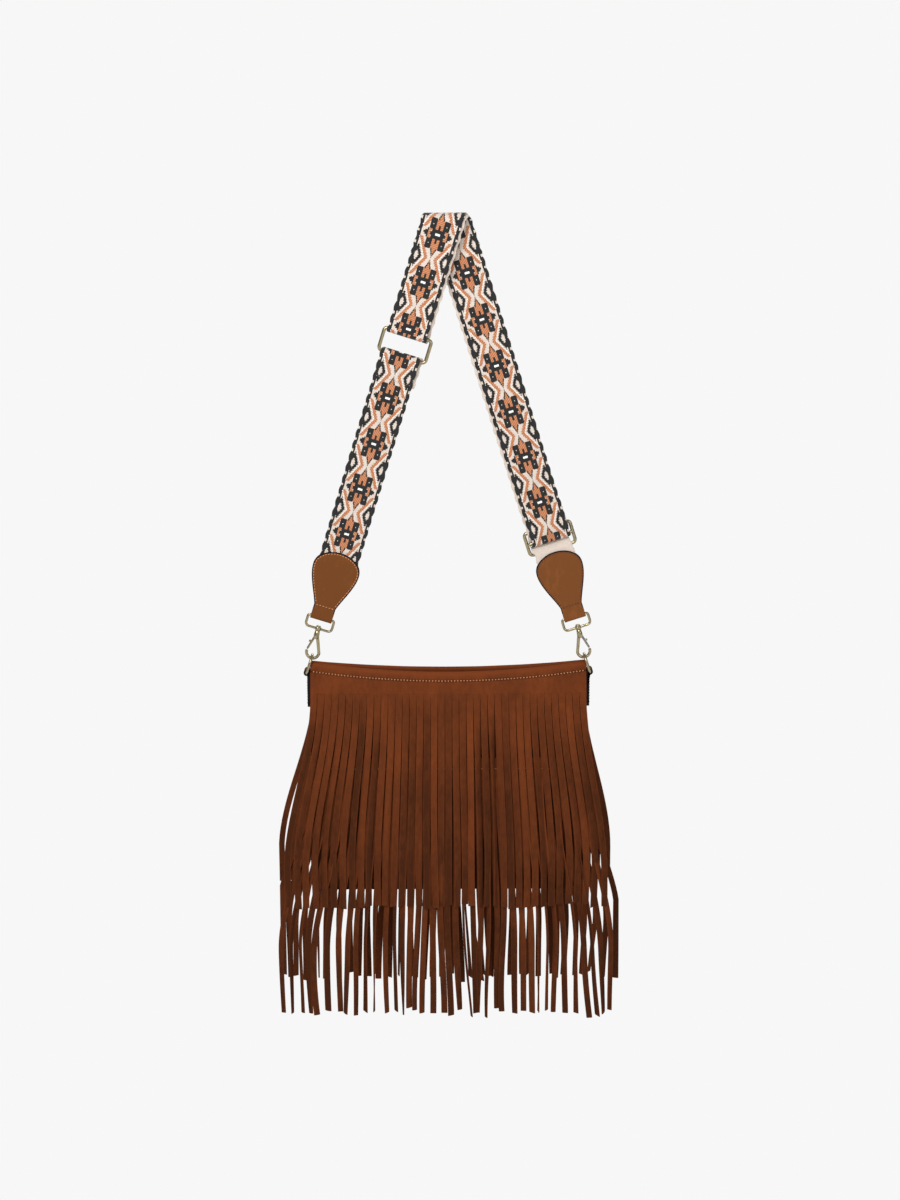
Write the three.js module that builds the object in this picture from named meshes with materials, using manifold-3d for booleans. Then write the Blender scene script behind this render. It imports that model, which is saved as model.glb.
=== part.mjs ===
// A fringed suede shoulder bag that hangs by its strap from a rod.
// Millimetres, +Z up, the front of the bag faces -Y. The origin is the underside of the strap's
// crown, where it rests on the rod; the rod itself is not part of the bag.
import * as THREE from "three";
import { mergeVertices } from "three/addons/utils/BufferGeometryUtils.js";
import Module from "manifold-3d";

const wasm = await Module();
wasm.setup();

const degrees = THREE.MathUtils.degToRad;

// Strap: one long webbing runs twice over the rod, one short webbing carries the left pad.
const ROD_RADIUS = 5;
const WEB_WIDTH = 46;
const WEB_THICK = 2.2;
const CLEARANCE = 0.3; // kept between pieces that touch
const LAYER_PITCH = WEB_THICK + CLEARANCE;
const LAYER_SHIFT = 1.5; // the outer layer sits this far to the left, the inner one to the right
const LEG_ANGLE = degrees(17.6); // each leg of the strap from the vertical

// Places along a leg, measured from where it leaves the rod.
const RING_AT = 140.4;
const SLIDER_AT = 370;
const PAD_TOP_AT = 386;
const LOOP_BAR_AT = 464.4;
const WEB_END_AT = 414; // both webbings end here, between the plies of the pads
const TAIL = 31; // length of the sewn tail behind the slider and below the ring

// Rectangular ring and three-bar slider, bent from one size of wire.
const WIRE_RADIUS = 2;
const BAR_PITCH = 13; // from the middle of the ring or slider to its long bars
const RING_WIDTH = 54; // between the centrelines of the short bars
const RING_CORNER = 4;
const CENTRE_BAR_RADIUS = 1.75;
const CENTRE_BAR_RISE = 2; // the slider's centre bar stands this far in front of its frame

// Suede end pads, folded round the top bar of the swivel loops.
const PAD_THICK = 1.8;
const PAD_HALF_WIDTH = 27;
const NECK_HALF_WIDTH = 12.6;
const NECK_HEIGHT = 14;

// Swivel snap hooks.
const LOOP_RADIUS = 1.5;
const LOOP_WIDTH = 30.6; // between the centrelines of the loop's sides
const LOOP_HEIGHT = 13.5;
const LOOP_CORNER = 2.6;
const LOOP_LOW_CORNER = 4;
const HOOK_TILT = degrees(13.5);
const HOOK_REACH = 35.5; // from the loop's lower bar to the bow's lowest centreline point
const BOSS_RADIUS = 3.6;
const BOSS_HALF = 2;
const POST_RADIUS = 1.5;
const POST_HEAD_RADIUS = 2.6;
const POST_HEAD_HEIGHT = 1.6;
const NECK_BLOCK_RADIUS = 3.3;
const NECK_BLOCK_TOP = BOSS_HALF + CLEARANCE;
const NECK_BLOCK_BOTTOM = 12.2;
const HOOK_WIRE = 1.7;
const BOW_RADIUS = 7.2;
const GATE_PIVOT = new THREE.Vector2(1.7, -10); // across and up in the hook's frame
const GATE_RADIUS = 1.2;
const GATE_SLOT_HALF = 1.7; // half the width of the slot in the neck block
const PIN_RADIUS = 0.6;
const KNUCKLE_RADIUS = 1.6;

// D-rings and their tabs.
const D_WIRE = 1.6;
const D_HALF_WIDTH = 10;
const D_HEIGHT = 20.5; // from the flat bar's centreline to the top of the arc's
const D_TILT = degrees(17.7);
const D_PLAY = 0.6; // between the bow and the arc that rests on it
const TAB_WIDTH = 14.5;
const TAB_THICK = 1.7;
const TAB_LENGTH = 40;

// Bag body.
const BAG_HALF_WIDTH = 157.4;
const MOUTH_CORNER_Z = -499;
const MOUTH_SAG = 10;
const BASE_Z = -760;
const BASE_CORNER = 28;
const MOUTH_HALF_DEPTH = 19; // in the middle of the mouth
const MOUTH_END_HALF_DEPTH = 3;
const BASE_HALF_DEPTH = 40;
const SUEDE = 1.8;
const LINING_THICK = 1;

// Fringe: strips cut from one piece of suede, an upper and a lower row on each face.
const STRIPS = 39;
const SLIT = 0.8;
const FLARE = 0.18; // how much wider a row is at its lowest hem than at the mouth
const UPPER_BAND_Z = -533;
const UPPER_END_Z = -779;
const LOWER_TOP_Z = -606;
const LOWER_BAND_Z = -628;
const FRONT_LOWER_END_Z = -913;
const BACK_LOWER_END_Z = -898;
const FRINGE_PITCH = SUEDE + 0.9;
const FRINGE_GAP = 0.9; // between the panel and the row beside it

// Magnetic snap inside the mouth.
const SNAP_Z = -541;
const SNAP_RADIUS = 9;
const SNAP_THICK = 3;

const WEBBING = { color: 0xe9ddd0, roughness: 0.85, metalness: 0 };
const SUEDE_LOOK = { color: 0x5c2d17, roughness: 0.95, metalness: 0 };
const LINING_LOOK = { color: 0x3a2418, roughness: 0.9, metalness: 0 };
const GOLD = { color: 0xd9c7a0, roughness: 0.3, metalness: 1 };
const STEEL = { color: 0xb9b9b6, roughness: 0.35, metalness: 1 };

const root = new THREE.Group();

function addPiece(parent, name, geometry, look) {
  const mesh = new THREE.Mesh(geometry, new THREE.MeshStandardMaterial(look));
  mesh.name = name;
  parent.add(mesh);
  return mesh;
}

// Booleans. A geometry becomes a solid, and a solid becomes a geometry again.
function solidOf(geometry, matrix = new THREE.Matrix4()) {
  const bare = new THREE.BufferGeometry();
  const source = geometry.index ? geometry.toNonIndexed() : geometry;
  bare.setAttribute("position", source.getAttribute("position").clone());
  const merged = mergeVertices(bare.applyMatrix4(matrix), 1e-3);
  const mesh = new wasm.Mesh({
    numProp: 3,
    vertProperties: merged.attributes.position.array,
    triVerts: new Uint32Array(merged.index.array),
  });
  return new wasm.Manifold(mesh);
}

function geometryOf(solid) {
  const mesh = solid.getMesh();
  const geometry = new THREE.BufferGeometry();
  geometry.setAttribute("position", new THREE.BufferAttribute(mesh.vertProperties, 3));
  geometry.setIndex(new THREE.BufferAttribute(mesh.triVerts, 1));
  return geometry;
}

function join(...solids) {
  return solids.reduce((whole, next) => whole.add(next));
}

// A cylinder from its radius, length, middle and direction.
function cylinder(radius, length, centre, direction, sides = 16) {
  const turn = new THREE.Quaternion().setFromUnitVectors(
    new THREE.Vector3(0, 1, 0),
    direction.clone().normalize(),
  );
  const place = new THREE.Matrix4().compose(centre, turn, new THREE.Vector3(1, 1, 1));
  return solidOf(new THREE.CylinderGeometry(radius, radius, length, sides), place);
}

const ALONG_X = new THREE.Vector3(1, 0, 0);
const ALONG_Y = new THREE.Vector3(0, 1, 0);
const ALONG_Z = new THREE.Vector3(0, 0, 1);

// A flat closed outline as a curve in the plane of two axes, for wire bent to it.
class Outline extends THREE.Curve {
  constructor(path, across, up) {
    super();
    this.path = path;
    this.across = across;
    this.up = up;
  }
  getPoint(t, target = new THREE.Vector3()) {
    const p = this.path.getPointAt(t);
    return target.set(0, 0, 0).addScaledVector(this.across, p.x).addScaledVector(this.up, p.y);
  }
}

function roundedRectangle(width, height, corner, low = corner) {
  const x = width / 2;
  const y = height / 2;
  const path = new THREE.Path();
  path.moveTo(0, -y);
  path.lineTo(x - low, -y);
  path.absarc(x - low, -y + low, low, -Math.PI / 2, 0);
  path.lineTo(x, y - corner);
  path.absarc(x - corner, y - corner, corner, 0, Math.PI / 2);
  path.lineTo(-x + corner, y);
  path.absarc(-x + corner, y - corner, corner, Math.PI / 2, Math.PI);
  path.lineTo(-x, -y + low);
  path.absarc(-x + low, -y + low, low, Math.PI, 1.5 * Math.PI);
  path.closePath();
  return path;
}

function closedWire(path, across, up, radius, segments) {
  return new THREE.TubeGeometry(new Outline(path, across, up), segments, radius, 8, true);
}

// The strap's surface. s runs along the strap from the crown, up the left leg and down the right
// one, u runs across it and n out from the rod. Both layers lie on a flat strip that is laid over
// the rod at LEG_ANGLE, so the strip wraps it as a helix and the legs spread into a V.
const CROWN_RADIUS = ROD_RADIUS + WEB_THICK + CLEARANCE / 2;
const LOWER_BAR_AT = LOOP_BAR_AT + LOOP_HEIGHT;
const LEG_LEAN = Math.asin(CROWN_RADIUS / (LOWER_BAR_AT * Math.cos(LEG_ANGLE)));
const WRAP = Math.PI / 2 + LEG_LEAN; // each leg leans in until it hangs under the rod's axis
const LEG_START = (CROWN_RADIUS * WRAP) / Math.cos(LEG_ANGLE);

function strapPoint(s, u, n) {
  const around = s * Math.cos(LEG_ANGLE) - u * Math.sin(LEG_ANGLE);
  const side = Math.sign(around);
  const angle = Math.min(Math.abs(around) / CROWN_RADIUS, WRAP);
  const straight = Math.abs(around) - angle * CROWN_RADIUS;
  return new THREE.Vector3(
    s * Math.sin(LEG_ANGLE) + u * Math.cos(LEG_ANGLE),
    side * ((CROWN_RADIUS + n) * Math.sin(angle) + straight * Math.cos(angle)),
    -ROD_RADIUS + (CROWN_RADIUS + n) * Math.cos(angle) - straight * Math.sin(angle),
  );
}

// A group on a leg: x across to the right, y up the leg and z towards the front.
function legGroup(side, at) {
  const s = side * (LEG_START + at);
  const here = strapPoint(s, 0, 0);
  const across = strapPoint(s, 1, 0).sub(here).normalize();
  const up = strapPoint(s - side, 0, 0).sub(here).normalize();
  const group = new THREE.Group();
  group.matrixAutoUpdate = false;
  group.matrix.makeBasis(across, up, across.clone().cross(up)).setPosition(here);
  root.add(group);
  return group;
}

// The path of a webbing in the plane of s and n, pulled tight round bars. Each stop is a point, or
// a bar with the signed radius of the webbing's middle round it: positive with the bar on its left.
function pulledTight(stops) {
  const headings = stops.slice(1).map((next, i) => {
    const gap = new THREE.Vector2().subVectors(next.at, stops[i].at);
    return gap.angle() - Math.asin((next.radius - stops[i].radius) / gap.length());
  });
  const points = [];
  stops.forEach(({ at, radius }, i) => {
    const arriving = headings[Math.max(i - 1, 0)];
    const leaving = headings[Math.min(i, headings.length - 1)];
    const most = radius > 0 ? 2 * Math.PI - 0.5 : 0.5;
    let turn = (leaving - arriving) % (2 * Math.PI);
    if (turn > most) turn -= 2 * Math.PI;
    if (turn < most - 2 * Math.PI) turn += 2 * Math.PI;
    const steps = radius ? Math.ceil(Math.abs(turn) / degrees(22)) : 0;
    for (let k = 0; k <= steps; k++) {
      const heading = arriving + (steps ? (turn * k) / steps : turn / 2);
      const out = new THREE.Vector2(Math.sin(heading), -Math.cos(heading));
      points.push({ at: at.clone().addScaledVector(out, radius), out });
    }
  });
  return points;
}

// Adds stations where the path crosses the crown, so that it bends smoothly over the rod.
const CROWN_REACH = 24;
const CROWN_STEP = 2.4;
function overTheCrown(points) {
  return points.flatMap((p, i) => {
    const next = points[i + 1];
    if (!next || Math.sign(p.at.x) === Math.sign(next.at.x)) return [p];
    const way = Math.sign(next.at.x - p.at.x);
    const added = [];
    for (let s = -CROWN_REACH; s <= CROWN_REACH + 1e-6; s += CROWN_STEP) {
      const share = (way * s - p.at.x) / (next.at.x - p.at.x);
      added.push({ at: p.at.clone().lerp(next.at, share), out: p.out });
    }
    return [p, ...added];
  });
}

// A webbing as one closed body: a flat section carried along its path.
function webbing(stops) {
  const stations = overTheCrown(pulledTight(stops));
  const corners = [];
  stations.forEach(({ at, out }) => {
    const shift = -LAYER_SHIFT * Math.tanh(at.y);
    const squared = Math.min(Math.max((2.5 * CROWN_REACH - Math.abs(at.x)) / CROWN_REACH, 0), 1);
    [[-1, -1], [1, -1], [1, 1], [-1, 1]].forEach(([edge, face]) => {
      const u = (edge * WEB_WIDTH) / 2 + shift;
      const p = at.clone().addScaledVector(out, (face * WEB_THICK) / 2);
      const s = p.x + squared * u * Math.tan(LEG_ANGLE);
      corners.push(strapPoint(s, u, p.y));
    });
  });
  return bar(corners, 4);
}

// A closed body from rings of corners, with flat ends.
function bar(corners, perRing) {
  const rings = corners.length / perRing;
  const faces = [];
  for (let i = 0; i + 1 < rings; i++) {
    for (let k = 0; k < perRing; k++) {
      const a = i * perRing + k;
      const b = i * perRing + ((k + 1) % perRing);
      faces.push(a, b, b + perRing, a, b + perRing, a + perRing);
    }
  }
  for (let k = 1; k + 1 < perRing; k++) {
    const last = (rings - 1) * perRing;
    faces.push(0, k + 1, k, last, last + k, last + k + 1);
  }
  const geometry = new THREE.BufferGeometry().setFromPoints(corners);
  geometry.setIndex(faces);
  return facingOut(geometry);
}

function facingOut(geometry) {
  const flat = geometry.toNonIndexed().getAttribute("position");
  const [a, b, c] = [0, 1, 2].map(() => new THREE.Vector3());
  let volume = 0;
  for (let i = 0; i < flat.count; i += 3) {
    [a, b, c].forEach((corner, k) => corner.fromBufferAttribute(flat, i + k));
    volume += a.dot(b.cross(c));
  }
  if (volume < 0) geometry.setIndex([...geometry.index.array].reverse());
  return geometry;
}

function stop(side, at, n, radius = 0) {
  return { at: new THREE.Vector2(side * (LEG_START + at), n), radius };
}

const LEFT = -1;
const RIGHT = 1;
const INNER = -LAYER_PITCH / 2;
const OUTER = LAYER_PITCH / 2;
const ON_WIRE = WIRE_RADIUS + CLEARANCE + 0.1 + WEB_THICK / 2;
const ON_CENTRE_BAR = CENTRE_BAR_RADIUS + CLEARANCE + 0.1 + WEB_THICK / 2;
const FRAME_N = ON_WIRE; // the slider's frame lies behind the webbing
const CENTRE_N = FRAME_N - CENTRE_BAR_RISE;
const SETTLE = 45; // the layers spread from their normal pitch over this length

// From the right pad, through the slider, over the rod, round the ring's upper bar, back over the
// rod and down to the slider's centre bar, where its tail is sewn.
addPiece(root, "long_webbing", webbing([
  stop(RIGHT, WEB_END_AT, 0),
  stop(RIGHT, SLIDER_AT + BAR_PITCH, FRAME_N, -ON_WIRE),
  stop(RIGHT, SLIDER_AT, CENTRE_N, ON_CENTRE_BAR + LAYER_PITCH),
  stop(RIGHT, SLIDER_AT - BAR_PITCH, FRAME_N, -ON_WIRE),
  stop(RIGHT, SLIDER_AT - SETTLE, OUTER),
  stop(LEFT, RING_AT - SETTLE, OUTER),
  stop(LEFT, RING_AT - BAR_PITCH, 0, ON_WIRE),
  stop(LEFT, RING_AT - SETTLE, INNER),
  stop(RIGHT, SLIDER_AT - SETTLE, INNER),
  stop(RIGHT, SLIDER_AT - BAR_PITCH, FRAME_N, ON_WIRE + 2 * LAYER_PITCH),
  stop(RIGHT, SLIDER_AT, CENTRE_N, ON_CENTRE_BAR),
  stop(RIGHT, SLIDER_AT - BAR_PITCH, FRAME_N, -ON_WIRE - LAYER_PITCH),
  stop(RIGHT, SLIDER_AT - TAIL, -LAYER_PITCH),
]), WEBBING);

// From the left pad up to the ring's lower bar, where its tail is turned back and sewn.
addPiece(root, "short_webbing", webbing([
  stop(LEFT, WEB_END_AT, 0),
  stop(LEFT, RING_AT + SETTLE, OUTER),
  stop(LEFT, RING_AT + BAR_PITCH, 0, -ON_WIRE),
  stop(LEFT, RING_AT + BAR_PITCH + TAIL, INNER),
]), WEBBING);

const rectangle = roundedRectangle(RING_WIDTH, 2 * BAR_PITCH, RING_CORNER);
addPiece(
  legGroup(LEFT, RING_AT),
  "strap_ring",
  closedWire(rectangle, ALONG_X, ALONG_Y, WIRE_RADIUS, 36),
  GOLD,
);

function slider() {
  const behind = new THREE.Matrix4().makeTranslation(0, 0, -FRAME_N);
  const frame = solidOf(closedWire(rectangle, ALONG_X, ALONG_Y, WIRE_RADIUS, 36), behind);
  const middle = new THREE.Vector3(0, 0, -CENTRE_N);
  return join(frame, cylinder(CENTRE_BAR_RADIUS, RING_WIDTH + WIRE_RADIUS, middle, ALONG_X, 12));
}
addPiece(legGroup(RIGHT, SLIDER_AT), "strap_slider", geometryOf(slider()), GOLD);

// A pad: a pear-shaped piece of suede folded at its neck, so that it lies in front of the webbing
// and behind it, with the swivel loop's bar in the fold.
const PAD_HEIGHT = LOOP_BAR_AT - PAD_TOP_AT;
const PLY_INNER = LOOP_RADIUS + CLEARANCE;
const PLY_OUTER = PLY_INNER + PAD_THICK;

function padOutline() {
  const wide = PAD_HALF_WIDTH;
  const neck = NECK_HALF_WIDTH;
  const shape = new THREE.Shape();
  shape.moveTo(-neck, 0);
  shape.lineTo(neck, 0);
  shape.lineTo(neck, NECK_HEIGHT);
  shape.bezierCurveTo(neck + 4, 0.34 * PAD_HEIGHT, wide, 0.56 * PAD_HEIGHT, wide, 0.74 * PAD_HEIGHT);
  shape.bezierCurveTo(wide, 0.9 * PAD_HEIGHT, 0.5 * wide, PAD_HEIGHT, 0, PAD_HEIGHT);
  shape.bezierCurveTo(-0.5 * wide, PAD_HEIGHT, -wide, 0.9 * PAD_HEIGHT, -wide, 0.74 * PAD_HEIGHT);
  shape.bezierCurveTo(-wide, 0.56 * PAD_HEIGHT, -neck - 4, 0.34 * PAD_HEIGHT, -neck, NECK_HEIGHT);
  return shape;
}

function pad() {
  const ply = new THREE.ExtrudeGeometry(padOutline(), {
    depth: PAD_THICK,
    bevelEnabled: false,
    curveSegments: 8,
  });
  const front = solidOf(ply, new THREE.Matrix4().makeTranslation(0, 0, PLY_INNER));
  const back = solidOf(ply, new THREE.Matrix4().makeTranslation(0, 0, -PLY_OUTER));
  const middle = new THREE.Vector3();
  const fold = cylinder(PLY_OUTER, 2 * NECK_HALF_WIDTH, middle, ALONG_X, 24);
  const bore = cylinder(PLY_INNER, 3 * NECK_HALF_WIDTH, middle, ALONG_X, 24);
  const upper = solidOf(
    new THREE.BoxGeometry(3 * NECK_HALF_WIDTH, 2 * PLY_OUTER, 2 * PLY_OUTER),
    new THREE.Matrix4().makeTranslation(0, PLY_OUTER + 0.01, 0),
  );
  return geometryOf(join(front, back, fold.subtract(bore).subtract(upper)));
}

// The hook's frame: x across, y up its axis and z to the front, with the loop's lower bar at zero.
function hookMatrix(side) {
  const at = strapPoint(side * (LEG_START + LOWER_BAR_AT), 0, 0);
  const tilt = new THREE.Matrix4().makeRotationX(Math.PI / 2);
  return new THREE.Matrix4()
    .makeTranslation(at.x, 0, at.z)
    .multiply(new THREE.Matrix4().makeRotationY(-side * HOOK_TILT))
    .multiply(tilt);
}

function swivelLoop(group, side) {
  const wire = roundedRectangle(LOOP_WIDTH, LOOP_HEIGHT, LOOP_CORNER, LOOP_LOW_CORNER);
  const low = new THREE.Matrix4().makeTranslation(0, -LOOP_HEIGHT / 2, 0);
  const loop = solidOf(closedWire(wire, ALONG_X, ALONG_Y, LOOP_RADIUS, 36), low);
  group.updateMatrixWorld(true);
  const turned = group.matrix.clone().invert().multiply(hookMatrix(side));
  const centre = new THREE.Vector3().applyMatrix4(turned);
  const axis = new THREE.Vector3(0, 1, 0).transformDirection(turned);
  const boss = cylinder(BOSS_RADIUS, 2 * BOSS_HALF, centre, axis, 20);
  const bore = cylinder(POST_RADIUS + CLEARANCE, 4 * BOSS_HALF, centre, axis, 16);
  return geometryOf(join(loop, boss).subtract(bore));
}

// The hook's body: post with its riveted head, slotted neck block, and the wire that runs down
// one side and round the bow to the tip that the gate closes on.
const BOW_CENTRE = new THREE.Vector2(0, BOW_RADIUS - HOOK_REACH);
const TIP_ANGLE = degrees(8);

function hookBody(side) {
  const at = (x, y, z = 0) => new THREE.Vector3(side * x, y, z);
  const head = BOSS_HALF + CLEARANCE;
  const post = cylinder(POST_RADIUS, NECK_BLOCK_TOP + head + 1, at(0, 0), ALONG_Y, 16);
  const top = cylinder(POST_HEAD_RADIUS, POST_HEAD_HEIGHT, at(0, head + POST_HEAD_HEIGHT / 2), ALONG_Y, 16);
  const blockHeight = NECK_BLOCK_BOTTOM - NECK_BLOCK_TOP;
  const blockMiddle = -(NECK_BLOCK_TOP + NECK_BLOCK_BOTTOM) / 2;
  const block = cylinder(NECK_BLOCK_RADIUS, blockHeight, at(0, blockMiddle), ALONG_Y, 20);
  const slotWidth = 2 * NECK_BLOCK_RADIUS;
  const slotTop = GATE_PIVOT.y + KNUCKLE_RADIUS + CLEARANCE;
  const slot = solidOf(
    new THREE.BoxGeometry(slotWidth, slotTop + 2 * NECK_BLOCK_BOTTOM, 2 * GATE_SLOT_HALF),
    new THREE.Matrix4().makeTranslation(
      side * (slotWidth / 2 - 0.4),
      slotTop - (slotTop + 2 * NECK_BLOCK_BOTTOM) / 2,
      0,
    ),
  );
  const pinHole = cylinder(PIN_RADIUS + 0.1, 10, at(GATE_PIVOT.x, GATE_PIVOT.y), ALONG_Z, 12);
  const bend = new THREE.CurvePath();
  const start = at(-1.6, -NECK_BLOCK_BOTTOM + 2);
  const turnStart = at(BOW_CENTRE.x - BOW_RADIUS, BOW_CENTRE.y);
  bend.add(new THREE.LineCurve3(start, turnStart));
  const arc = new THREE.CatmullRomCurve3(
    Array.from({ length: 13 }, (_, i) => {
      const a = Math.PI + ((Math.PI + TIP_ANGLE) * i) / 12;
      return at(BOW_CENTRE.x + BOW_RADIUS * Math.cos(a), BOW_CENTRE.y + BOW_RADIUS * Math.sin(a));
    }),
  );
  bend.add(arc);
  const wire = solidOf(facingOutExtrusion(bend, HOOK_WIRE, 30));
  return geometryOf(join(post, top, block.subtract(slot), wire).subtract(pinHole));
}

function facingOutExtrusion(path, radius, steps) {
  const section = new THREE.Shape();
  section.absarc(0, 0, radius, 0, 2 * Math.PI);
  const geometry = new THREE.ExtrudeGeometry(section, {
    steps,
    curveSegments: 5,
    bevelEnabled: false,
    extrudePath: path,
  });
  return facingOut(mergeVertices(positionOnly(geometry), 1e-3));
}

function positionOnly(geometry) {
  const bare = new THREE.BufferGeometry();
  bare.setAttribute("position", geometry.getAttribute("position"));
  return bare;
}

// The gate: a bar from its knuckle in the neck block to the tip of the bow, with a thumb knob.
function hookGate(side) {
  const at = (x, y) => new THREE.Vector3(side * x, y, 0);
  const tip = new THREE.Vector2(
    BOW_CENTRE.x + BOW_RADIUS * Math.cos(TIP_ANGLE),
    BOW_CENTRE.y + BOW_RADIUS * Math.sin(TIP_ANGLE) + CLEARANCE + GATE_RADIUS,
  );
  const knuckle = cylinder(KNUCKLE_RADIUS, 1.6, at(GATE_PIVOT.x, GATE_PIVOT.y), ALONG_Z, 16);
  const start = GATE_PIVOT.clone().lerp(tip, 1.4 / tip.distanceTo(GATE_PIVOT));
  const length = tip.distanceTo(start);
  const middle = tip.clone().add(start).multiplyScalar(0.5);
  const along = at(tip.x - GATE_PIVOT.x, tip.y - GATE_PIVOT.y);
  const rail = cylinder(GATE_RADIUS, length, at(middle.x, middle.y), along, 12);
  const knobAt = GATE_PIVOT.clone().lerp(tip, 0.42);
  const out = new THREE.Vector3(along.y * -side, along.x * side, 0).normalize();
  const knob = cylinder(1.5, 2.4, at(knobAt.x, knobAt.y).addScaledVector(out, 1.8), out, 12);
  const bore = cylinder(PIN_RADIUS + 0.1, 6, at(GATE_PIVOT.x, GATE_PIVOT.y), ALONG_Z, 12);
  return geometryOf(join(knuckle, rail, knob).subtract(bore));
}

function dRing() {
  const straight = D_HEIGHT - D_HALF_WIDTH;
  const corner = 2.4;
  const path = new THREE.Path();
  path.moveTo(0, 0);
  path.lineTo(D_HALF_WIDTH - corner, 0);
  path.absarc(D_HALF_WIDTH - corner, corner, corner, -Math.PI / 2, 0);
  path.lineTo(D_HALF_WIDTH, straight);
  path.absarc(0, straight, D_HALF_WIDTH, 0, Math.PI);
  path.lineTo(-D_HALF_WIDTH, corner);
  path.absarc(-D_HALF_WIDTH + corner, corner, corner, Math.PI, 1.5 * Math.PI);
  path.closePath();
  return closedWire(path, ALONG_Y, ALONG_Z, D_WIRE, 34);
}

// A tab: a strip of suede folded round the D-ring's flat bar and sewn to the end of the bag.
function tab() {
  const eye = D_WIRE + 0.4;
  const outer = eye + TAB_THICK;
  const face = 2 * TAB_THICK - outer; // the strip's outer face, its inner one is flush with the eye
  const shape = new THREE.Shape();
  shape.absarc(0, 0, outer, -Math.acos(face / outer), Math.PI);
  shape.lineTo(-outer, -TAB_LENGTH);
  shape.lineTo(face, -TAB_LENGTH);
  const hole = new THREE.Path();
  hole.absarc(0, 0, eye, 0, 2 * Math.PI, true);
  shape.holes.push(hole);
  const geometry = new THREE.ExtrudeGeometry(shape, {
    depth: TAB_WIDTH,
    bevelEnabled: false,
    curveSegments: 10,
  });
  geometry.translate(0, 0, -TAB_WIDTH / 2);
  return geometry.rotateX(Math.PI / 2);
}

const SIDES = { left: LEFT, right: RIGHT };
let tabX = 0;
let barZ = 0;
Object.entries(SIDES).forEach(([name, side]) => {
  addPiece(legGroup(side, LOOP_BAR_AT), name + "_pad", pad(), SUEDE_LOOK);
  const loopGroup = legGroup(side, LOOP_BAR_AT);
  addPiece(loopGroup, name + "_swivel_loop", swivelLoop(loopGroup, side), GOLD);

  const hook = new THREE.Group();
  hook.matrixAutoUpdate = false;
  hook.matrix.copy(hookMatrix(side));
  root.add(hook);
  addPiece(hook, name + "_hook_body", hookBody(side), GOLD);
  addPiece(hook, name + "_hook_gate", hookGate(side), STEEL);
  const pivot = new THREE.Vector3(side * GATE_PIVOT.x, GATE_PIVOT.y, 0);
  const pin = cylinder(PIN_RADIUS, 5.4, pivot, ALONG_Z, 12);
  addPiece(hook, name + "_gate_pin", geometryOf(pin), STEEL);
  const springAt = pivot.clone().add(new THREE.Vector3(0, 0, 1.3));
  const spring = cylinder(1.1, 0.6, springAt, ALONG_Z, 14).subtract(
    cylinder(PIN_RADIUS + 0.1, 2, springAt, ALONG_Z, 12),
  );
  addPiece(hook, name + "_gate_spring", geometryOf(spring), STEEL);

  // The D-ring's arc rests on the bow, so its flat bar hangs below and outside it.
  const bow = new THREE.Vector3(0, -HOOK_REACH, 0).applyMatrix4(hookMatrix(side));
  const drop = D_HEIGHT - HOOK_WIRE - D_WIRE - D_PLAY;
  tabX = Math.abs(bow.x) + drop * Math.sin(D_TILT);
  barZ = bow.z - drop * Math.cos(D_TILT);
  const ring = addPiece(root, name + "_d_ring", dRing(), GOLD);
  ring.position.set(side * tabX, 0, barZ);
  ring.rotation.y = -side * D_TILT;
  const strip = addPiece(root, name + "_side_tab", tab(), SUEDE_LOOK);
  strip.position.set(side * tabX, 0, barZ);
  strip.rotation.z = side === LEFT ? Math.PI : 0;
});

// The bag's shape: half-depth of the body over its face, and the line of its mouth.
function halfWidth(z) {
  const up = Math.min(z - BASE_Z, BASE_CORNER);
  return BAG_HALF_WIDTH - BASE_CORNER + Math.sqrt(BASE_CORNER ** 2 - (BASE_CORNER - up) ** 2);
}

function mouthZ(x) {
  return MOUTH_CORNER_Z - MOUTH_SAG * (1 - (x / BAG_HALF_WIDTH) ** 2);
}

function halfDepth(x, z) {
  const across = Math.min(Math.abs(x) / BAG_HALF_WIDTH, 1);
  const mouth = MOUTH_END_HALF_DEPTH + (MOUTH_HALF_DEPTH - MOUTH_END_HALF_DEPTH) * (1 - across ** 2);
  const down = THREE.MathUtils.clamp((mouthZ(x) - z) / (mouthZ(x) - BASE_Z), 0, 1);
  return THREE.MathUtils.lerp(mouth, BASE_HALF_DEPTH, Math.sin((Math.PI / 2) * down) ** 0.9);
}

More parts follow.
